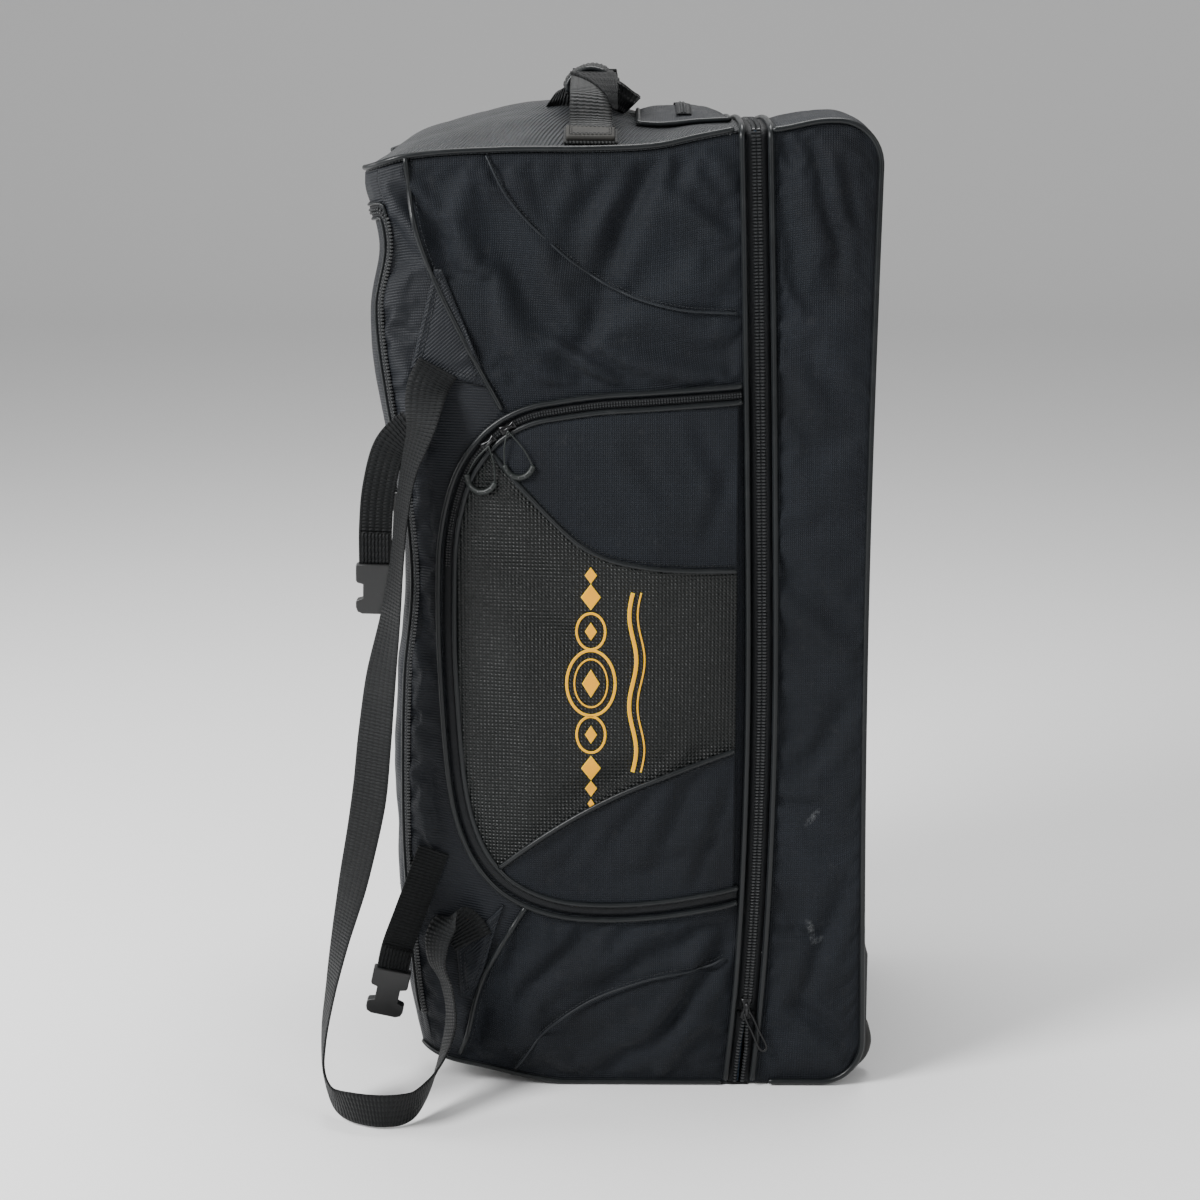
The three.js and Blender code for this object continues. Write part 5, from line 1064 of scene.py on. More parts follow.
def slider_arrays(centre, along, up, length, width, height):
    """Zip slider: a tapered two-lobed body with a bridge for the pull."""
    centre, along, up = (np.array(a, float) for a in (centre, along, up))
    across = np.cross(along, up)
    stations = np.linspace(0, 1, 13)
    half = width / 2 * (0.74 + 0.26 * np.cos(2 * math.pi * (stations - 0.12)) * (1 - 0.35 * stations))
    ks = np.linspace(-1, 1, 9)
    dome = np.sqrt(np.maximum(0, 1 - 0.75 * np.abs(ks) ** 3))
    line = centre + along * ((stations - 0.5) * length)[:, None]
    ends = 0.45 + 0.55 * np.sin(math.pi * np.clip(stations * 0.9 + 0.05, 0, 1)) ** 0.4
    front = (line[:, None] + across * (half[:, None] * ks[None, :])[..., None]
             + up * (height * 0.55 * ends[:, None] * dome[None, :])[..., None])
    back = line[:, None] + across * (half[:, None] * ks[None, :])[..., None]
    s = np.linspace(0, math.pi, 15)
    bridge = (centre + along * (-np.cos(s) * length * 0.3)[:, None]
              + up * (height * 0.45 + np.sin(s) ** 0.7 * height * 0.5)[:, None])
    return [slab_arrays(front, back), tube_arrays(bridge, width * 0.13, 8)]


def base_slider():
    x = float(rim_x(ZIP_OPEN_HEIGHT / BAG_HEIGHT)) + ZIP_BAND / 2
    y = -HALF - TEETH_RISE - GAP
    parts = slider_arrays((x, y + 0.6, ZIP_OPEN_HEIGHT + 3), (0, 0, 1), (0, -1, 0), 20, 13, 6.5)
    piece("base_slider", parts, SLIDER_METAL, "zip_slider", "base_zip_slider")
    top = np.array([x, y - 5.6, ZIP_OPEN_HEIGHT + 1])
    end = np.array([x + 17, y - 6.4, ZIP_OPEN_HEIGHT - 36])
    aside = np.cross(unit(end - top), [0, 1.0, 0])
    half_ring = [(0.0, 2.2), (0.08, 3.2), (0.5, 3.3), (0.92, 3.4), (1.0, 1.6)]
    ring = half_ring + [(shift, -wide) for shift, wide in reversed(half_ring)]
    wire = curve([top + (end - top) * shift + aside * wide for shift, wide in ring], 1.2)
    piece("base_pull_wire", [tube_arrays(wire, 1.15, 10)], SLIDER_METAL, "pull_wire", "base_zip_pull")


def lid_zip():
    """Zip round the lid: up the near corner, over the top edge and down the far corner."""
    turn_length = (2 - LID_EDGE) * LID_CORNER * math.pi / 2
    low, high = 0.0422, 0.935
    vs = np.linspace(low, high, 170)
    arc = np.linspace(0, math.pi / 2, 12)[1:-1]
    near = [(-1.03, v, -1, 0) for v in vs]
    corner = [
        (-1.03 + 0.3 * (1 - math.cos(a)), high + 0.02 * math.sin(a), -math.cos(a), math.sin(a)) for a in arc]
    over = [(w, high + 0.02, 0, 1) for w in np.linspace(-0.7, 1.7, 70)]
    far_corner = [(1 - w, v, -dw, dv) for w, v, dw, dv in reversed(corner)]
    far = [(2.03, v, 1, 0) for v in vs[::-1]]
    stations = np.array(near + corner + over + far_corner + far)
    w, v, dw, dv = stations.T

    def strip(reach, lift):
        return lid_place(w + dw * reach / turn_length, v + dv * reach / BAG_HEIGHT, lift, SEAM)

    reaches = np.linspace(-8.0, 8.0, 5)
    front = np.stack([strip(r, 2 * GAP + 0.9) for r in reaches], 1)
    back = np.stack([strip(r, 2 * GAP) for r in reaches], 1)
    piece("lid_zip_tape", [slab_arrays(front, back)], TAPE, "zip_coil", "lid_zip")
    line = strip(0.0, 2 * GAP + 0.8)
    normals = strip(0.0, 3.0) - strip(0.0, 1.0)
    rows = [tooth_row(line, normals, 3.1, 3.0, 2.0, 1.9, side * 1.5) for side in (-1, 1)]
    piece("lid_zip_coil", rows, TEETH, "zip_coil", smooth_faces=False)
    edges = [tube_arrays(strip(reach, 2 * GAP + 1.1)[::2], 1.3, 8) for reach in (-7.6, 7.6)]
    piece("lid_zip_edges", edges, PIPING, "piping")


# Side pocket: line of its zip from the base zip to the leftmost point, and back below, as (x, z)
POCKET_UPPER_LINE = [
    (111, 657), (65, 654), (21, 651), (-24, 648), (-60, 643), (-82, 639), (-100, 632), (-118, 620),
    (-133, 603), (-145, 583), (-154, 555), (-160, 521), (-162, 471)]
POCKET_LOWER_LINE = [
    (-162, 471), (-162, 424), (-160, 377), (-157, 329), (-153, 291), (-146, 258), (-134, 229), (-115, 204),
    (-90, 188), (-58, 178), (-16, 175), (31, 178), (77, 185), (116, 192)]


def pocket_outline(out):
    """Outline of the pocket from its upper end at the base zip round to its lower end, as (x, z)."""
    halves = []
    for rows in (POCKET_UPPER_LINE, POCKET_LOWER_LINE):
        line = curve([(x, 0, z) for x, z in rows], 3.0)
        run = np.linspace(0, len(line) - 1, 110)
        line = np.stack([np.interp(run, np.arange(len(line)), line[:, k]) for k in (0, 2)], -1)
        tangent = np.gradient(line, axis=0)
        away = unit(np.stack([tangent[:, 1], -tangent[:, 0]], -1))
        halves.append(line + away * out)
    x, z = np.concatenate([halves[0], halves[1][1:]]).T
    past = rim_x(z / BAG_HEIGHT) - 2 * PIPING_RADIUS - 2
    return np.minimum(x, past), z


def pocket_edges(x):
    """Heights of the pocket's cloth at x: its lower and upper edge, its lower and upper seam."""
    ox, oz = pocket_outline(-POCKET_ZIP_WIDTH / 2 - GAP)
    half = len(ox) // 2
    high = np.interp(x, np.maximum.accumulate(ox[:half + 1][::-1]), oz[:half + 1][::-1])
    low = np.interp(x, np.maximum.accumulate(ox[half:]), oz[half:])
    along = (RIM_X - x) / POCKET_DEPTH
    height = POCKET_TOP - POCKET_BOTTOM
    low_seam = POCKET_BOTTOM + height * follow(POCKET_LOWER_SEAM, along)
    high_seam = POCKET_BOTTOM + height * follow(POCKET_UPPER_SEAM, along)
    return low, high, low_seam, high_seam


def pocket_point(x, z, lift):
    x, z = np.broadcast_arrays(np.asarray(x, float), np.asarray(z, float))
    low, high, _, _ = pocket_edges(x)
    along = (RIM_X - x) / POCKET_DEPTH
    rise = POCKET_RISE * np.minimum(1, 4 * np.maximum(0, 1 - along)) ** 0.6
    rise = rise * np.minimum(1, 0.35 + 2.2 * along) * bump((z - low) / np.maximum(high - low, 1), 6)
    return on_side(x, z, lift + GAP + rise)


# Broad dents of the coated panel: centre x and z, half width and half height, turn in degrees, depth
POCKET_DENTS = [
    (-95, 500, 40, 16, -22, 2.6), (-60, 440, 60, 13, -28, 2.2), (-115, 330, 22, 60, 8, 1.6),
    (-20, 300, 50, 14, 24, 1.8), (30, 420, 26, 50, 0, 1.5), (-70, 250, 40, 12, 30, 2.0),
    (-105, 420, 16, 40, 6, -1.4), (-100, 560, 30, 12, -12, -1.6), (0, 380, 40, 40, 0, -1.2)]
# Folds of the two corner panels: ends as (x, z), half width, depth
POCKET_FOLDS = [
    ((70, 330), (25, 215), 9, 4.2), ((98, 300), (60, 190), 7, 3.4), ((30, 300), (-20, 235), 8, 3.0),
    ((100, 250), (-10, 205), 8, 2.6), ((60, 640), (95, 560), 9, 2.4), ((0, 620), (40, 560), 10, 2.2),
    ((-40, 600), (10, 590), 8, 1.8), ((95, 600), (70, 520), 8, 2.0), ((-60, 215), (-30, 260), 7, 2.4)]


def pocket_relief(x, z):
    total = np.zeros(x.shape)
    for cx, cz, wide, tall, turn, deep in POCKET_DENTS:
        a = math.radians(turn)
        p = ((x - cx) * math.cos(a) + (z - cz) * math.sin(a)) / wide
        q = (-(x - cx) * math.sin(a) + (z - cz) * math.cos(a)) / tall
        total -= 1.7 * deep * np.exp(-(p**2 + q**2))
    for a, b, width, deep in POCKET_FOLDS:
        a, b = np.array(a, float), np.array(b, float)
        span = b - a
        t = ((x - a[0]) * span[0] + (z - a[1]) * span[1]) / (span @ span)
        off = ((x - a[0]) * span[1] - (z - a[1]) * span[0]) / np.linalg.norm(span) / width
        total -= deep * smooth(t, -0.15, 0.25) * (1 - smooth(t, 0.7, 1.15)) * (
            np.exp(-(off**2)) - 0.5 * np.exp(-((off - 1.8) ** 2)))
    return total


def pocket_surface(x, z, lift):
    """Place on the dressed pocket, with its folds fading out at the seams and the zip."""
    base = pocket_point(x, z, lift)
    low, high, low_seam, high_seam = pocket_edges(x)
    gap = np.minimum(np.minimum(z - low, high - z), np.minimum(np.abs(z - low_seam), np.abs(z - high_seam)))
    calm = smooth(gap, 0, 16) * smooth(rim_x(z / BAG_HEIGHT) - 6 - x, 0, 14)
    wave = 0.5 * wander(base, 45.0, 51.0) + 0.25 * wander(base, 18.0, 53.0)
    base[..., 1] -= (pocket_relief(x, z) + wave) * calm
    return base


POCKET_LEFT = float(np.min(pocket_outline(-POCKET_ZIP_WIDTH / 2 - GAP)[0]))


def pocket_panel(name, xs, rows, ranges, material, slot, node):
    low, high = ranges(*pocket_edges(xs))
    t = np.linspace(0, 1, rows)
    z = mix(low[:, None], np.maximum(high, low + 0.5)[:, None], t[None, :])
    x = np.repeat(xs[:, None], rows, axis=1)
    front = pocket_surface(x, z, CLOTH)
    points, quads, _ = slab_arrays(front, front + [0, CLOTH, 0])
    flat = np.concatenate([np.stack([x, z], -1).reshape(-1, 2)] * 2)
    piece(name, [(points, quads, flat)], material, slot, node)


def seam_meets_edge(upper):
    xs = np.linspace(RIM_X - 6, POCKET_LEFT, 400)
    low, high, low_seam, high_seam = pocket_edges(xs)
    height = high - high_seam if upper else low_seam - low
    return xs[max(1, int(np.argmax(height < 2.5)) - 1)]


def between_seams(low, high, low_seam, high_seam):
    return np.maximum(low, np.minimum(low_seam, high)), np.minimum(high, np.maximum(high_seam, low))


def side_pocket():
    right = RIM_X - 6
    round_xs = POCKET_LEFT + 90 * (1 - np.cos(np.linspace(0.02, 1, 60) * math.pi / 2))
    xs = np.concatenate([np.linspace(right, round_xs[-1], 90)[:-1], round_xs[::-1]])
    pocket_panel(
        "pocket_middle_cloth", xs, 150, between_seams, COATED, "coated_cloth", "pocket_middle_panel")
    corners = (("upper", lambda low, high, ls, hs: (hs + 1, high)),
               ("lower", lambda low, high, ls, hs: (low, ls - 1)))
    for name, ranges in corners:
        xs = np.linspace(right, seam_meets_edge(name == "upper"), 90)
        pocket_panel(f"pocket_{name}_cloth", xs, 60, ranges, RIPSTOP, "main_cloth", f"pocket_{name}_panel")
    seams = []
    for upper, rows in ((True, POCKET_UPPER_SEAM), (False, POCKET_LOWER_SEAM)):
        xs = np.linspace(right - 1, seam_meets_edge(upper) + 1, 110)
        z = POCKET_BOTTOM + (POCKET_TOP - POCKET_BOTTOM) * follow(rows, (RIM_X - xs) / POCKET_DEPTH)
        line = pocket_point(xs, z, CLOTH + 1.1)
        seams.append(tube_arrays(line, 2.3, 10))
        off = 4.6 if upper else -4.6
        stitched = pocket_surface(xs, z + off, CLOTH + 0.1)
        seams.append(tooth_row(stitched, np.tile([0, -1.0, 0], (len(xs), 1)), 4.0, 0.8, 3.0, 0.5))
    piece("pocket_seam_piping", seams, PIPING, "piping")


def gold_design():
    """Plain gold ornament: linked rings between tapering lozenges, with a slender wave beside them."""
    def layer(x, z):
        return slab_arrays(pocket_surface(x, z, CLOTH + 0.75), pocket_surface(x, z, CLOTH - 0.3))

    def stripe(points, width, closed=False):
        line = np.array(points, float)
        tangent = np.gradient(line, axis=0)
        if closed:
            tangent[0] = tangent[-1] = line[1] - line[-2]
        away = unit(np.stack([tangent[:, 1], -tangent[:, 0]], -1))
        across = np.linspace(-0.5, 0.5, 5) * width
        grid = line[:, None] + away[:, None] * across[None, :, None]
        return layer(grid[..., 0], grid[..., 1])

    def ring(cx, cz, rx, rz, width):
        a = np.linspace(0, 2 * math.pi, 90)
        return stripe(np.stack([cx + rx * np.cos(a), cz + rz * np.sin(a)], -1), width, True)

    def lozenge(cx, cz, rx, rz):
        u, v = np.meshgrid(np.linspace(-1, 1, 18), np.linspace(-1, 1, 18))
        return layer(cx + rx * (u + v) / 2, cz + rz * (u - v) / 2)

    cx, cz = -32, 396
    parts = [ring(cx, cz, 22, 30, 2.6), ring(cx, cz, 15, 22, 1.4), lozenge(cx, cz, 8, 13)]
    for sign in (-1, 1):
        parts.append(ring(cx, cz + sign * 48, 13, 17, 2.2))
        parts.append(lozenge(cx, cz + sign * 48, 5.5, 8.5))
        parts.append(lozenge(cx, cz + sign * 80, 9, 12))
        parts.append(lozenge(cx, cz + sign * 100, 5.5, 7.5))
    parts.append(lozenge(cx, cz - 114, 3, 4.5))
    t = np.linspace(-1, 1, 160)
    for shift, width in ((0, 3.6), (7.5, 1.5)):
        parts.append(
            stripe(np.stack([cx + 38 + shift + 3.2 * np.sin(t * math.pi * 2), cz + t * 84], -1), width))
    piece("gold_ornament", parts, GOLD, "coated_cloth")


def outline_normals(x, z):
    step = 2.0
    return (on_side(x, z, step) - on_side(x, z, 0.0)) / step


def pocket_zip():
    reach = POCKET_ZIP_WIDTH / 2
    section = ((-reach + 0.3, 0.9), (-2.2, 1.5), (0, 1.7), (2.2, 1.5), (reach, 0.9))
    front = np.stack([on_side(*pocket_outline(offset), GAP + lift) for offset, lift in section], 1)
    back = np.stack([on_side(*pocket_outline(offset), GAP) for offset, _ in section], 1)
    piece("pocket_zip_tape", [slab_arrays(front, back)], TAPE, "zip_coil", "pocket_zip")
    x, z = pocket_outline(0.6)
    keep = slice(0, int(len(x) * 0.47))
    line = on_side(x, z, GAP + 1.6)[keep]
    normals = outline_normals(x, z)[keep]
    rows = [tooth_row(line, normals, 2.5, 2.2, 1.6, 1.3, side * 1.15) for side in (-1, 1)]
    piece("pocket_zip_coil", rows, TEETH, "zip_coil", smooth_faces=False)
    x, z = pocket_outline(POCKET_ZIP_WIDTH / 2 + PIPING_RADIUS + 4 * GAP)
    outer = tube_arrays(curve(on_side(x, z, PIPING_RADIUS + 0.4)[::4], 3.5), PIPING_RADIUS, 10)
    piece("pocket_outer_piping", [outer], PIPING, "piping", "pocket_piping")
    x, z = pocket_outline(-POCKET_ZIP_WIDTH / 2 - 1.4)
    inner = tube_arrays(curve(on_side(x, z, 3.6)[::4], 3.5), 2.5, 10)
    piece("pocket_inner_piping", [inner], PIPING, "piping")


def slider_place(along):
    """Place on the upper half of the pocket's zip and the zip's direction there."""
    x = RIM_X - along * POCKET_DEPTH
    ox, oz = pocket_outline(0.0)
    half = len(ox) // 2
    z, before = (float(np.interp(at, ox[:half][::-1], oz[:half][::-1])) for at in (x, x + 3))
    return x, z, unit(np.array([3.0, 0, before - z]))


# Share of the pocket's depth, drop in millimetres, shift aside, lean in degrees, ends of the grip's arc
PULLS = {"right": (0.81, 44.0, 10.0, 0.0, 200, 340), "left": (0.875, 44.0, -10.0, 14.0, 195, 345)}


def pocket_pulls():
    """Two sliders, each with a thin cord loop and a curved rubber grip with small holes."""
    for name, (along, hang, aside, tilt, first, last) in PULLS.items():
        x, z, direction = slider_place(along)
        centre = on_side(x, z, GAP * 2 + 2.4)
        slider = slider_arrays(centre, direction, (0, -1, 0), 15, 9, 5)
        piece(f"pocket_slider_body_{name}", slider, SLIDER_METAL, "zip_slider", f"pocket_slider_{name}")
        low, middle = z - hang, x + aside
        lean = math.radians(tilt)

        def lying(dx, dz):
            px = middle + dx * math.cos(lean) + dz * math.sin(lean)
            pz = low - dx * math.sin(lean) + dz * math.cos(lean)
            return pocket_surface(np.array([px]), np.array([pz]), CLOTH + 2.6)[0]

        root = on_side(x, z - 2, 8.2)
        arc = np.radians(np.linspace(first, last, 15))
        grip = curve([lying(13.5 * math.cos(a), 16 + 15.5 * math.sin(a)) for a in arc], 1.2)
        parts = [tube_arrays(grip, 2.7, 12)]
        piece(f"pocket_pull_grip_{name}", parts, GRIP_RUBBER, "pull_cord", f"pocket_pull_{name}")
        cords = []
        for end, sign in ((grip[0], -1), (grip[-1], 1)):
            bend = mix(root, end, 0.55) + [sign * 1.6, -1.2, 1.5]
            cords.append(tube_arrays(curve([root, bend, end], 1.5), 0.75, 8))
        piece(f"pocket_pull_loop_{name}", cords, GRIP_RUBBER, "pull_cord")
        holes = [int(k * (len(grip) - 1)) for k in np.linspace(0.14, 0.86, 5)]
        tangents = unit(np.gradient(grip, axis=0)[holes])
        ups = np.tile([0, -1.0, 0], (5, 1))
        dots = box_arrays(grip[holes] + ups * 2.4, tangents, ups, 2.4, 1.8, 0.6)
        piece(f"pocket_pull_marks_{name}", [dots], TEETH, "pull_cord")


# Piping along the seams
def piping(name, points, *nodes, radius=PIPING_RADIUS):
    piece(name, [tube_arrays(curve(points, 4.0), radius, 10)], PIPING, "piping", *nodes)


def rim_pipings():
    for name, offset, node in (
            ("rim_cord_main", -PIPING_RADIUS, "rim_piping_main"),
            ("rim_cord_base", ZIP_BAND + PIPING_RADIUS, "rim_piping_base")):
        line, normals = rim_line(offset, PIPING_RADIUS + 1.2, 7.0, 7.0)
        swell = (SIDE_CROWN if offset < 0 else BASE_CROWN) * 0.07
        line = line + normals * swell - np.maximum(normals, 0) * [0, 0, PIPING_RADIUS]
        piece(name, [tube_arrays(line, PIPING_RADIUS, 10)], PIPING, "piping", node)


def edge_pipings():
    for name, sign in SIDES:
        x = end_columns(1.0, 60, 16)[2:-1]
        half = end_half(x, 1.0)
        line = join(x, sign * (half + 1.3), top_z(x) + 1.7)
        piping(f"top_edge_piping_{name}", line, f"top_piping_{name}")
        line, out = base_outline(0.08, 40, HOUSING_HEIGHT + 4, 60)
        line = line - out * 1.2
        line[:, 1] = sign * (HALF + 2.2)
        angles = np.radians(np.linspace(90, 0, 16))
        corner = join(
            SPINE_X - BASE_CORNER + (BASE_CORNER - 1.5) * np.sin(angles),
            sign * (HALF + 2.4), BASE_CORNER - BASE_CORNER * np.cos(angles) + PIPING_RADIUS * 1.6)
        last = join(
            np.linspace(SPINE_X - BASE_CORNER, BASE_X + 10, 8)[1:], sign * (HALF + 2.4), PIPING_RADIUS * 1.6)
        line = np.concatenate([line[::2], corner, last])
        piping(f"base_edge_piping_{name}", line, f"base_piping_{name}")


def side_pipings():
    for name, points in (("upper", UPPER_DIAGONAL), ("lower", LOWER_DIAGONAL)):
        flat = curve([(x, 0, z) for x, z in points], 5.0)
        line = on_cloth(flat[:, 0], flat[:, 2], 2.2)
        piping(f"side_piping_{name}", line, radius=2.4)
        stitched = on_cloth(flat[:, 0] + 5, flat[:, 2], 0.6)
        rows = tooth_row(stitched, outline_normals(flat[:, 0] + 5, flat[:, 2]), 4.2, 0.8, 3.0, 0.5)
        piece(f"side_stitches_{name}", [rows], THREAD, "main_cloth")
    x = end_columns(0.0, 40, 10)[1:-2]
    line = join(x, -end_half(x, 0.0) - 1.6, bottom_z(x) + 3.2)
    piping("bottom_edge_piping_near", line, radius=2.3)
    piping("bottom_edge_piping_far", line * [1, -1, 1], radius=2.3)


def stitched_seams():
    """Flat seams across the near side: a fine lip of cloth with a row of stitches beside it."""
    for name, points in (("upper", UPPER_STITCHED), ("lower", LOWER_STITCHED)):
        flat = curve([(x, 0, z) for x, z in points], 4.0)
        x, z = flat[:, 0], flat[:, 2]
        lip = tube_arrays(over_cloth(x, z, 1.4), 1.2, 8)
        rows = tooth_row(over_cloth(x, z + 3.4, 1.1), outline_normals(x, z), 3.8, 0.7, 2.9, 0.6)
        piece(f"flat_seam_{name}", [lip, rows], THREAD, "main_cloth")


# Webbing
def route_place(row, side, width):
    along, out, up, turn, tilt = row
    turn, tilt = math.radians(turn), math.radians(tilt)
    across = np.array(
        [math.cos(tilt) * math.cos(turn), -side * math.cos(tilt) * math.sin(turn), math.sin(tilt)])
    stand = GAP + width / 2 * abs(math.sin(tilt)) + WEBBING_THICK
    at = np.array(
        [RIM_X - along * MAIN_DEPTH, side * (HALF + out * BAG_WIDTH), stand + up * (BAG_HEIGHT - stand)])
    return at, across


def ribbon_arrays(places, turns, width, thick, step, cup=0.0):
    """Webbing along stations, with rounded edges; cup bends its width a little."""
    turns = np.asarray(turns)
    line = curve(places, step)
    run = run_along(places)
    fine_run = np.linspace(0, run[-1], len(line))
    nearest = run_along(line)
    nearest = nearest / nearest[-1] * run[-1]
    across = np.stack([np.interp(nearest, run, turns[:, k]) for k in range(3)], -1)
    soft = np.ones(9) / 9
    if len(across) > 12:
        padded = np.concatenate([across[:1].repeat(4, 0), across, across[-1:].repeat(4, 0)])
        across = np.stack([np.convolve(padded[:, k], soft, "valid") for k in range(3)], -1)
    tangent = unit(np.gradient(line, axis=0))
    across = unit(across - tangent * np.sum(across * tangent, axis=1, keepdims=True))
    normal = np.cross(tangent, across)
    ks = np.array([-1, -0.96, -0.85, -0.5, 0, 0.5, 0.85, 0.96, 1])
    round_off = np.array([0.25, 0.75, 1, 1, 1, 1, 1, 0.75, 0.25])
    bend = cup * (ks**2 - 0.4)
    middle = line[:, None] + across[:, None] * (ks * width / 2)[None, :, None]
    middle = middle + normal[:, None] * bend[None, :, None]
    half = (thick / 2 * round_off)[None, :, None] * normal[:, None]
    points, quads, _ = slab_arrays(middle + half, middle - half)
    u = np.broadcast_to(fine_run[:, None], middle.shape[:2])
    v = np.broadcast_to((ks * width / 2)[None, :], middle.shape[:2])
    flat = np.concatenate([np.stack([u, v], -1).reshape(-1, 2)] * 2)
    return (points, quads, flat), line, across, normal


def strap_stitches(line, across, normal):
    """A stitched box with a cross near the lower end of a compression strap."""
    a, b = int(0.84 * (len(line) - 1)), int(0.95 * (len(line) - 1))
    reach = STRAP_WIDTH / 2 - 3
    line, across, normal = line[a:b + 1] - normal[a:b + 1] * 0.9, across[a:b + 1], -normal[a:b + 1]
    left, right = line + across * reach, line - across * reach
    t = np.linspace(0, 1, b - a + 1)[:, None]
    parts = []
    for path in (left, right, mix(left, right, t), mix(right, left, t)):
        parts.append(tooth_row(path, normal, 3.4, 0.8, 2.5, 0.45))
    for k in (0, -1):
        path = line[k] + across[k] * np.linspace(-reach, reach, 8)[:, None]
        parts.append(tooth_row(path, np.tile(normal[k], (8, 1)), 3.4, 0.8, 2.5, 0.45))
    return parts


def carry_handles():
    last = len(HANDLE_ROUTE) - 1
    for name, side in SIDES:
        shift = 0 if side < 0 else FAR_HANDLE_SHIFT
        rows = []
        for i, (along, *rest) in enumerate(HANDLE_ROUTE):
            rows.append((along - shift * math.sin(math.pi * i / last) ** 2, *rest))
        places, turns = zip(*[route_place(row, side, WEBBING) for row in rows])
        strap = ribbon_arrays(places, turns, WEBBING, WEBBING_THICK, 3.0, 0.5)[0]
        piece(f"carry_strap_{name}", [strap], WEB, "webbing", f"carry_handle_{name}")


def compression_straps():
    for name, side in SIDES:
        for level, route in (("upper", UPPER_STRAP_ROUTE), ("lower", LOWER_STRAP_ROUTE)):
            places, turns = zip(*[route_place(row, side, STRAP_WIDTH) for row in route])
            strap, line, across, normal = ribbon_arrays(places, turns, STRAP_WIDTH, WEBBING_THICK, 2.5)
            doubled = slice(int(0.8 * len(line)), None)
            sign = 1 if normal[-1][1] * side > 0 else -1
            middle = line[doubled] + normal[doubled] * sign * (WEBBING_THICK * 0.95)
            ks = np.linspace(-1, 1, 7)
            front = middle[:, None] + across[doubled, None] * (ks * (STRAP_WIDTH / 2 - 0.4))[None, :, None]
            half_thick = normal[doubled, None] * 0.9 * sign
            layer = slab_arrays(front + half_thick, front - half_thick)
            piece(f"side_strap_{level}_{name}", [strap, layer], WEB, "webbing", f"strap_{level}_{name}")
            outer = line + normal * sign * WEBBING_THICK
            stitches = strap_stitches(outer, across, normal * sign)
            piece(f"side_strap_stitches_{level}_{name}", stitches, THREAD, "webbing")
            buckle_piece(f"{level}_{name}", places, side)


def buckle_piece(name, places, side):
    """Side-release buckle half: a socket with windows on the near side, a plug with prongs on the far."""
    direction = unit(places[-1] - places[-2])
    out = unit(np.cross([1.0, 0, 0], direction))
    across = np.cross(direction, out)
    place = places[-1] + direction * GAP
    w, length = BUCKLE_WIDTH / 2, BUCKLE_LENGTH
    thick = BUCKLE_THICK if side < 0 else BUCKLE_THICK * 0.7
    if side < 0:
        right = [
            (w - 1, 0), (w, 1), (w, 15), (w - 1.2, 17), (w - 6.5, 18.5), (w - 6.5, 31.5), (w - 1.2, 33),
            (w, 35), (w, length - 6), (w - 1.5, length - 2), (w - 6, length)]
    else:
        right = [
            (w, 0), (w, 14), (w - 3, 20), (w - 2, length), (w - 8, length), (w - 9, 22), (5, 20),
            (4, length - 4)]
    outline = right + [(-px, py) for px, py in reversed(right)]
    curve_data = bpy.data.curves.new(f"buckle_{name}_outline", "CURVE")
    curve_data.dimensions = "2D"
    curve_data.fill_mode = "BOTH"
    spline = curve_data.splines.new("POLY")
    spline.points.add(len(outline) - 1)
    for point_at, (px, py) in zip(spline.points, outline):
        point_at.co = (px * METRE, py * METRE, 0, 1)
    spline.use_cyclic_u = True
    curve_data.extrude = (thick / 2 - 1.1) * METRE
    curve_data.bevel_depth = 1.1 * METRE
    curve_data.bevel_resolution = 3
    curve_data.offset = -1.1 * METRE
    curve_object = placed(f"buckle_{name}_outline", curve_data)
    mesh = bpy.data.meshes.new_from_object(curve_object.evaluated_get(bpy.context.evaluated_depsgraph_get()))
    bpy.data.objects.remove(curve_object)
    basis = np.stack([across, direction, out], 1)
    count = len(mesh.vertices)
    co = np.empty(count * 3)
    mesh.vertices.foreach_get("co", co)
    co = co.reshape(-1, 3) @ basis.T + place * METRE
    mesh.vertices.foreach_set("co", co.ravel())
    mesh.materials.clear()
    mesh.materials.append(PLASTIC)
    mesh.polygons.foreach_set("use_smooth", [True] * len(mesh.polygons))
    mesh.update()
    dress(placed(f"buckle_body_{name}", mesh), "buckle", f"buckle_{name}")
    bars = []
    for at in (4.5, length - 8) if side < 0 else (4.5, 11):
        middle = place + direction * at + out * (thick / 2 - 0.3)
        bars.append(tube_arrays(middle + across * np.linspace(-w + 5, w - 5, 7)[:, None], 1.0, 8))
    piece(f"buckle_ribs_{name}", bars, PLASTIC, "buckle")


# Corners of the anchor patches as sewn: low outer, high outer, high inner, low inner
SEWN_UPPER = [(0.905, 0.757), (0.838, 0.855), (0.818, 0.855), (0.69, 0.738)]
SEWN_LOWER = [(0.8, 0.15), (0.79, 0.1), (0.755, 0.094), (0.665, 0.2)]


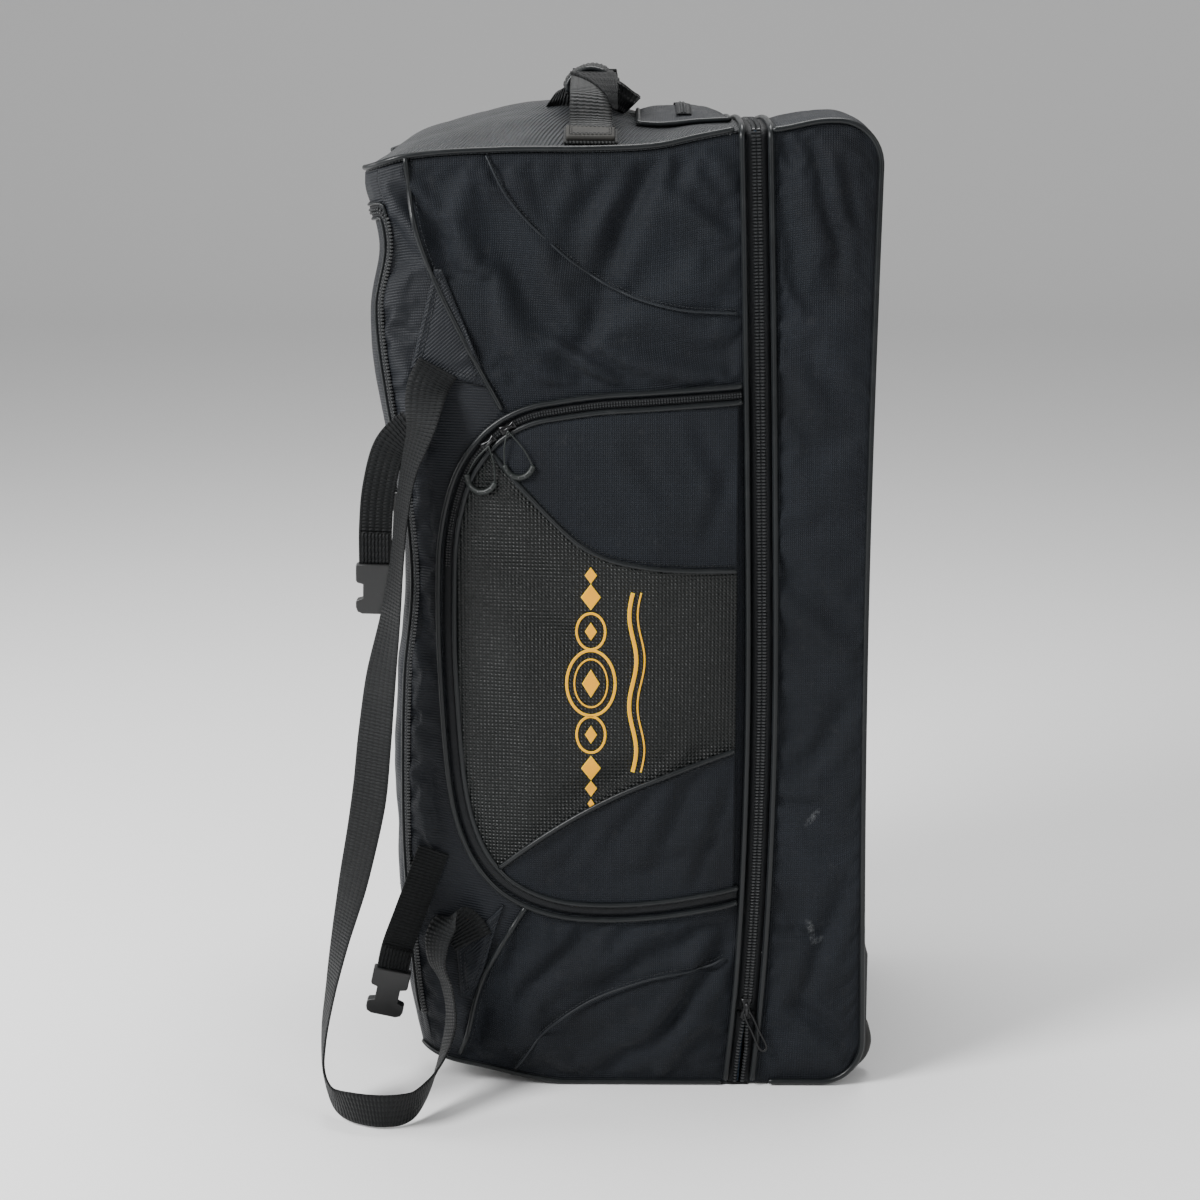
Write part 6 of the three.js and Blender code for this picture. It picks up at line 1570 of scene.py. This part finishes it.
def anchor_patches():
    """Doubled cloth over the ends of the carry handles, with two rows of stitches round the edge."""
    for name, side in SIDES:
        for level, corners in (("upper", SEWN_UPPER), ("lower", SEWN_LOWER)):
            corner = np.array([(RIM_X - a * MAIN_DEPTH, b * BAG_HEIGHT) for a, b in corners])

            u, v = np.meshgrid(np.linspace(0, 1, 30), np.linspace(0, 1, 36))
            bottom = mix(corner[0], corner[3], u[..., None])
            flat = mix(bottom, mix(corner[1], corner[2], u[..., None]), v[..., None])
            wide = mix(np.linalg.norm(corner[3] - corner[0]), np.linalg.norm(corner[2] - corner[1]), v)
            tall = np.linalg.norm(corner[1] - corner[0])
            edge = np.minimum(np.minimum(u, 1 - u) * wide, np.minimum(v, 1 - v) * tall)
            swell = 0.8 * smooth(edge, 0.0, 2.5) - 0.6 * np.exp(
                -((edge - 6.5) / 1.6) ** 2) + 0.5 * smooth(edge, 8, 16)
            lift = GAP + PATCH_THICK
            top = on_cloth(flat[..., 0], flat[..., 1], lift, side)
            top[..., 1] += side * swell
            points, quads, _ = slab_arrays(top, on_cloth(flat[..., 0], flat[..., 1], 0.1, side))
            uv = np.concatenate([flat.reshape(-1, 2) @ np.array([[0.75, -0.66], [0.66, 0.75]])] * 2)
            piece(
                f"anchor_patch_{level}_{name}", [(points, quads, uv)], RIBBED, "anchor_cloth",
                f"handle_patch_{level}_{name}")
            rows = []
            for inset in (3.2, 7.2):
                ring = []
                for k in range(4):
                    before, after = unit(corner[k - 1] - corner[k]), unit(corner[(k + 1) % 4] - corner[k])
                    ring.append(corner[k] + (before + after) * inset / max(abs(np.cross(before, after)), 0.5))
                ring.append(ring[0])
                for a, b in zip(ring[:-1], ring[1:]):
                    if np.linalg.norm(b - a) < 8:
                        continue
                    path = mix(a, b, np.linspace(0, 1, 16)[:, None])
                    line = on_cloth(path[:, 0], path[:, 1], lift + 0.75, side)
                    up = on_side(*path.T, 2.0, side) - on_side(*path.T, 1.0, side)
                    rows.append(tooth_row(line, up, 3.6, 0.8, 2.7, 0.5))
            piece(f"anchor_stitches_{level}_{name}", rows, THREAD, "anchor_cloth")


# Haul handle over the top end: its patches and tabs end at these shares of half the width
HAUL_PATCH_ENDS = (0.94, 0.76)
HAUL_TAB_ENDS = (0.932, 0.8)
HAUL_TAB_HALF = 21.5


def end_distance(w, outer, inner):
    """0 at both ends of a patch, 1 in its middle."""
    return 2 * np.minimum(outer - w, w - inner) / (outer - inner)


def haul_top():
    return float(dome_z(np.array(HAUL_X), np.array(0.0))) + HAUL_CLEAR


def haul_handle():
    flat = GRIP_LENGTH / BAG_WIDTH
    foot = PATCH_THICK + 4 * GAP + WEBBING_THICK / 2

    def row(w, lift):
        return np.array([HAUL_X, w * HALF, float(dome_z(np.array(HAUL_X), np.array(w * HALF))) + lift])

    def high(w):
        return np.array([HAUL_X, w * HALF, haul_top()])

    near = [
        row(-0.9, foot), row(-0.8, foot), row(-0.74, foot + 3), mix(row(-0.66, foot), high(-0.66), 0.6),
        high(-flat - 0.02)]
    far = [p * [1, -1, 1] for p in reversed(near)]
    places = near + [high(-flat / 2), high(flat / 2)] + far
    leans = np.radians([0, 0, 6, 16, 10, 0, 0, -10, -16, -6, 0, 0])
    turns = join(np.cos(leans), np.sin(leans), 0)
    strap, line, across, normal = ribbon_arrays(places, turns, WEBBING, WEBBING_THICK, 2.5, 0.8)
    piece("haul_strap_webbing", [strap], GREY_WEB, "webbing", "haul_strap")
    for name, side in SIDES:
        xs = np.linspace(-0.5, 0.5, 20) * HAUL_PATCH_WIDTH + HAUL_X
        ws = np.linspace(*HAUL_PATCH_ENDS, 18)
        x, w = np.meshgrid(xs, ws)
        y = side * w * HALF
        level = dome_z(x, w * HALF)
        rim = np.minimum(
            1 - np.abs(x - HAUL_X) / (HAUL_PATCH_WIDTH / 2), end_distance(w, *HAUL_PATCH_ENDS))
        lift = GAP + PATCH_THICK + 2.4 * smooth(rim, 0.05, 0.35)
        patch = slab_arrays(join(x, y, level + lift), join(x, y, level + GAP))
        rows = []
        for inset in (0.1, 0.2):
            low, high_w = mix(*HAUL_PATCH_ENDS[::-1], inset), mix(*HAUL_PATCH_ENDS, inset)
            reach = HAUL_PATCH_WIDTH / 2 * (1 - inset)
            ring = [(-reach, low), (reach, low), (reach, high_w), (-reach, high_w), (-reach, low)]
            for a, b in zip(ring[:-1], ring[1:]):
                t = np.linspace(0, 1, 14)
                px, pw = HAUL_X + 0.86 * mix(a[0], b[0], t), 0.866 + (mix(a[1], b[1], t) - 0.85) * 0.74
                pz = dome_z(px, pw * HALF) + foot + WEBBING_THICK / 2 + 2.0
                path = join(px, side * pw * HALF, pz)
                rows.append(tooth_row(path, np.tile([0, 0, 1.0], (14, 1)), 3.6, 0.9, 2.6, 0.5))
        piece(f"haul_anchor_{name}", [patch], GREY_WEB, "anchor_cloth", f"haul_patch_{name}")
        x, w = np.meshgrid(np.linspace(-HAUL_TAB_HALF, HAUL_TAB_HALF, 22), np.linspace(*HAUL_TAB_ENDS, 18))
        rim = np.minimum(1 - np.abs(x) / HAUL_TAB_HALF, end_distance(w, *HAUL_TAB_ENDS))
        level = dome_z(x + HAUL_X, w * HALF) + foot + WEBBING_THICK / 2 + 0.1
        tab_top = join(x + HAUL_X, side * w * HALF, level + 0.9 + 1.1 * smooth(rim, 0, 0.25))
        tab = slab_arrays(tab_top, join(x + HAUL_X, side * w * HALF, level - 3.0))
        piece(f"haul_tab_{name}", [tab], TAB, "anchor_cloth")
        piece(f"haul_anchor_stitches_{name}", rows, THREAD, "anchor_cloth")
    top = haul_top() + WEBBING_THICK / 2 + GAP
    profile = curve(
        [(-19, 0, -17), (-20, 0, -9), (-13, 0, -1), (-2, 0, 3), (10, 0, 0), (18, 0, -7), (21, 0, -18)], 1.2)
    ys = np.linspace(-GRIP_LENGTH / 2, GRIP_LENGTH / 2, 90)
    px, pz = profile[:, 0], profile[:, 2]
    x = HAUL_X + px[None, :] + 1.2 * np.sin(ys / 17.0)[:, None]
    z = top + pz[None, :] + 0.8 * np.cos(ys / 11.0)[:, None] * smooth(np.abs(px), 5, 25)[None, :]
    y = np.broadcast_to(ys[:, None], x.shape)
    under = join(x, y, z)
    up = outward(under, (HAUL_X, 0, top - 60))
    ends = 0.72 + 0.28 * bump((ys[:, None] / GRIP_LENGTH) + 0.5, 12)
    ribs = 0.5 * np.sin(run_along(profile) * 2 * math.pi / 3.4)
    seam = -1.6 * np.exp(-((run_along(profile) - 46) / 1.6) ** 2)
    front = under + up * (5.4 * ends + (ribs + seam)[None, :])[..., None]
    grip = piece("haul_grip_wrap", [slab_arrays(front, under)], GREY_WEB, "webbing", "haul_grip")
    hems = [tube_arrays(mix(front[row_at], under[row_at], 0.45)[2:-2], 2.5, 10) for row_at in (0, -1)]
    piece("haul_grip_binding", hems, PIPING, "piping")
    lobes = []
    for corners, swing in (
            (((-15, -9), (-35, -17), (-46, -33), (-15, -30)), -1),
            (((17, -6), (45, -20), (31, -34), (19, -32)), 1)):
        u, v = np.meshgrid(np.linspace(0, 1, 22), np.linspace(0, 1, 22))
        c = np.array(corners, float)
        flat = mix(mix(c[0], c[1], u[..., None]), mix(c[3], c[2], u[..., None]), v[..., None])
        pleat = 2.4 * np.sin(v * 7 + 2 * u) * u
        for start, stop in ((-52, -8), (-4, 50)):
            level = top + 1.4 * np.sin(5 * u)
            near_face = join(HAUL_X + flat[..., 0], start + pleat + 5 * u * swing, level + flat[..., 1])
            far_face = join(HAUL_X + flat[..., 0] * 0.96, stop + pleat, level + flat[..., 1] * 0.97)
            lobes.append(slab_arrays(near_face, far_face))
    piece("haul_grip_flaps", lobes, WEB, "webbing")
    for name, side in SIDES:
        pick = np.where((line[:, 1] * side > 58) & (line[:, 1] * side < 128))[0]
        pick = pick[::-1] if side > 0 else pick
        t = np.linspace(0, 1, len(pick))
        up = normal[pick] * np.sign(normal[pick][:, 2:3] + 1e-9)
        ks = np.linspace(0, 1, 14)
        reach = mix(mix(21.0, -20.0, t)[:, None], mix(24.0, 22.0, t)[:, None], ks[None, :])
        rib = 0.5 * np.sin(run_along(line[pick]) * 2 * math.pi / 3.2)
        base = line[pick][:, None] + across[pick][:, None] * reach[..., None] * np.sign(across[pick][0, 0])
        face = base + up[:, None] * (WEBBING_THICK / 2 + 2.6 + rib)[:, None, None]
        back = base + up[:, None] * (WEBBING_THICK / 2 + 0.3)
        piece(f"haul_fold_{name}", [slab_arrays(face, back)], WEB, "webbing")


# End pocket beside the base zip
def end_pocket_place(t, w, lift):
    x = END_POCKET_X - t * END_POCKET_DEPTH
    y = w * END_POCKET_WIDTH / 2
    return join(x, y, dome_z(x, y) + lift + END_POCKET_RISE * bump(t, 3) * bump((w + 1) / 2, 4))


def end_pocket():
    t, w = np.meshgrid(np.linspace(0, 1, 46), np.linspace(-1, 1, 90))
    front = end_pocket_place(t, w, GAP + CLOTH)
    slack = smooth(bump(t, 2), 0, 0.5) * smooth(bump((w + 1) / 2, 2), 0, 0.4)
    front[..., 2] += slack * (1.6 * wander(front, 30.0, 61.0) + 0.7 * wander(front, 13.0, 63.0))
    back = end_pocket_place(t, w, GAP)
    piece("end_pocket_cloth", [slab_arrays(front, back)], RIBBED, "end_cloth", "end_pocket")
    ws = np.linspace(-0.86, 0.86, 80)
    line = end_pocket_place(np.full(80, 0.5), ws, 2 * GAP + CLOTH + 0.6)
    normals = np.tile([0, 0, 1.0], (80, 1))
    tape = band(
        line, normals, np.tile([1.0, 0, 0], (80, 1)), [(-7, 0), (-3.5, 0.5), (0, 0.5), (3.5, 0.5), (7, 0)],
        0.9)
    piece("end_pocket_tape", [tape], TAPE, "zip_coil", "end_pocket_zip")
    rows = [tooth_row(line + [0, 0, 1.3], normals, 2.8, 2.6, 1.8, 1.2, side * 1.4) for side in (-1, 1)]
    piece("end_pocket_coil", rows, TEETH, "zip_coil", smooth_faces=False)
    ring = []
    for a, b in (((0, -1), (0, 1)), ((0, 1), (1, 1)), ((1, 1), (1, -1)), ((1, -1), (0, -1))):
        s = np.linspace(0, 1, 30)[:-1]
        ring.append(end_pocket_place(mix(a[0], b[0], s), mix(a[1], b[1], s), GAP + 2.2))
    ring = np.concatenate(ring + [ring[0][:1]])
    piece("end_pocket_piping", [tube_arrays(ring, 2.2, 10)], PIPING, "piping")


# Divider, base corner, wheels
def divider():
    w, v = np.meshgrid(np.linspace(-1, 1, 24), np.linspace(0, 1, 60))
    y = w * (HALF - CLOTH - GAP)
    x = rim_x(v) + ZIP_BAND / 2
    z = mix(SEAM, dome_z(np.full_like(y, RIM_X), y) - SEAM, v)
    grid = join(x + 1.5 * wander(join(x, y, z), 60.0, 71.0), y, z)
    piece("divider_cloth", [slab_arrays(grid, grid - [CLOTH, 0, 0])], INNER, "main_cloth", "divider")


def base_corner():
    half = HOUSING_Y - HOUSING_WIDTH / 2 - GAP
    angles = np.radians(np.linspace(90, 0, 16))
    down = np.linspace(HOUSING_HEIGHT, BASE_CORNER, 20)
    x = np.concatenate([np.full(20, SPINE_X), SPINE_X - BASE_CORNER + BASE_CORNER * np.sin(angles[1:]),
                        np.linspace(SPINE_X - BASE_CORNER, float(rim_x(0.0)) + ZIP_BAND + GAP, 12)[1:]])
    z = np.concatenate([down, BASE_CORNER - BASE_CORNER * np.cos(angles[1:]), np.zeros(11)])
    line = join(x, 0, z)
    w = np.linspace(-1, 1, 40)
    grid = np.repeat(line[:, None], 40, axis=1)
    grid[..., 1] = (w * half)[None, :]
    piece(
        "base_corner_cloth", [cloth_slab(grid, (175, 0, 60))], TARPAULIN, "coated_cloth", "base_corner_panel")


def lathe_arrays(profile, segments, centre):
    """Closed ring solid turned about the Y axis through a centre."""
    profile = np.array(profile, float)
    angles = np.linspace(0, 2 * math.pi, segments, endpoint=False)
    points = np.stack([
        profile[None, :, 0] * np.cos(angles)[:, None],
        np.broadcast_to(profile[None, :, 1], (segments, len(profile))),
        profile[None, :, 0] * np.sin(angles)[:, None]], -1) + centre
    index = np.arange(segments * len(profile)).reshape(segments, len(profile))
    nxt, side = np.roll(index, -1, axis=0), np.roll(index, -1, axis=1)
    both = np.roll(nxt, -1, axis=1)
    quads = np.stack([index, side, both, nxt], -1).reshape(-1, 4)
    points = points.reshape(-1, 3)
    return points, facing_out(points, quads), np.zeros((len(points), 2))


def mirrored(profile):
    """A profile of (radius, place) with its other half."""
    return profile + [(radius, -place) for radius, place in reversed(profile)]


def wheels():
    half = WHEEL_WIDTH / 2
    bore = AXLE_RADIUS + 0.3
    tread = [(HUB_RADIUS + 0.3, -half + 1)]
    tread += [
        (WHEEL_RADIUS - 4 + 4 * math.sin(a), -half + 4 - 4 * math.cos(a)) for a in np.linspace(0, 1.5, 6)]
    tread += [
        (WHEEL_RADIUS, -3.4), (WHEEL_RADIUS - 1.2, -2.6), (WHEEL_RADIUS - 1.2, -1.4), (WHEEL_RADIUS, -0.6)]
    rim = [(HUB_RADIUS - 3, -half + 3), (HUB_RADIUS - 0.6, -half + 1), (HUB_RADIUS, -half + 1.6)]
    boss = [(bore, -half - 1), (bore + 3.4, -half - 1), (bore + 4, -half - 0.4), (bore + 4.6, half + 0.4),
            (bore + 4, half + 1), (bore, half + 1)]
    web = [(bore + 4, -3), (HUB_RADIUS - 2.4, -3)]
    axle_end = -HOUSING_WIDTH / 2 + 1
    pin = [(0.05, axle_end), (3.2, axle_end), (AXLE_RADIUS, axle_end + 0.8)]
    for name, side in SIDES:
        centre = np.array([WHEEL_X, side * HOUSING_Y, WHEEL_Z])
        body = f"wheel_{name}"
        piece(
            f"tyre_{name}", [lathe_arrays(mirrored(tread), 72, centre)], RUBBER, "wheel_tyre",
            f"wheel_tyre_{name}", body=body)
        parts = [lathe_arrays(mirrored(rim), 64, centre), lathe_arrays(boss, 40, centre),
                 lathe_arrays(mirrored(web), 64, centre)]
        for k in range(5):
            a = 2 * math.pi * k / 5
            out = np.array([math.cos(a), 0, math.sin(a)])
            up = np.array([0, 1.0, 0])
            line = centre + out * np.linspace(bore + 3.6, HUB_RADIUS - 2.2, 5)[:, None]
            across = np.tile(np.cross(out, up), (5, 1))
            parts.append(
                band(
                    line - up * (half - 2.5), np.tile(up, (5, 1)), across, [(-2.2, 0), (2.2, 0)],
                    2 * half - 5))
        piece(f"hub_{name}", parts, HUB, "wheel_hub", f"wheel_hub_{name}", body=body)
        piece(f"axle_{name}", [lathe_arrays(mirrored(pin), 40, centre)], STEEL, "axle", f"wheel_axle_{name}")
        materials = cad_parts[f"wheel_housing_{name}"].data.materials
        materials.clear()
        materials.append(HOUSING)


side_panels()
top_and_bottom()
lid_and_spine()
base_zip()
open_tapes()
base_slider()
lid_zip()
side_pocket()
gold_design()
pocket_zip()
pocket_pulls()
rim_pipings()
edge_pipings()
side_pipings()
stitched_seams()
carry_handles()
compression_straps()
anchor_patches()
haul_handle()
end_pocket()
divider()
base_corner()
wheels()


# Floor, light and camera, in metres
FLOOR_REACH = 40.0
WHITE_LIGHT = 0.46
LIGHTS = [
    ("key", (-2.1, -1.7, 2.3), 1.3, 150.0), ("fill", (2.0, -2.2, 1.5), 1.8, 24.0),
    ("top", (0.1, 0.5, 2.9), 1.5, 60.0), ("left", (-2.4, 0.2, 1.2), 1.2, 30.0),
]
CAMERA_PLACE = (0.0, -2.58, 1.0)
CAMERA_TURN = (90 - 12.9 + 0.424, 0, 0.572)
SENSOR = 36.0
FOCAL_IN_PIXELS = 2704.0
PHOTO_PIXELS = 1200.0


def studio():
    floor_mesh = bpy.data.meshes.new("floor")
    steps = [(-FLOOR_REACH, 0.0), (6.0, 0.0)]
    steps += [(6.0 + 3 * math.sin(a), 3 - 3 * math.cos(a)) for a in np.linspace(0.1, math.pi / 2, 14)]
    steps.append((9.0, 20.0))
    points = [(x, y, z) for y, z in steps for x in (-FLOOR_REACH, FLOOR_REACH)]
    faces = [(2 * k, 2 * k + 1, 2 * k + 3, 2 * k + 2) for k in range(len(steps) - 1)]
    floor_mesh.from_pydata(points, [], faces)
    floor_mesh.polygons.foreach_set("use_smooth", [True] * len(faces))
    floor = placed("floor", floor_mesh)
    material, _, shader = new_material("pale_floor")
    shader.inputs["Base Color"].default_value = (0.86, 0.86, 0.86, 1)
    shader.inputs["Roughness"].default_value = 0.9
    shader.inputs["Specular IOR Level"].default_value = 0.1
    floor_mesh.materials.append(material)
    world = bpy.data.worlds.new("studio")
    world.use_nodes = True
    world.node_tree.nodes["Background"].inputs["Color"].default_value = (1.0, 1.0, 1.0, 1)
    world.node_tree.nodes["Background"].inputs["Strength"].default_value = WHITE_LIGHT
    bpy.context.scene.world = world
    for name, place, size, power in LIGHTS:
        data = bpy.data.lights.new(name, "AREA")
        data.shape = "DISK"
        data.size = size
        data.energy = power
        lamp = placed(name, data)
        lamp.location = place
        aim = Vector((0, 0, 0.48)) - lamp.location
        lamp.rotation_euler = aim.to_track_quat("-Z", "Y").to_euler()
    camera_data = bpy.data.cameras.new("camera")
    camera_data.sensor_width = SENSOR
    camera_data.lens = SENSOR * FOCAL_IN_PIXELS / PHOTO_PIXELS
    camera = placed("camera", camera_data)
    camera.location = CAMERA_PLACE
    camera.rotation_euler = tuple(math.radians(turn) for turn in CAMERA_TURN)
    bpy.context.scene.camera = camera


studio()
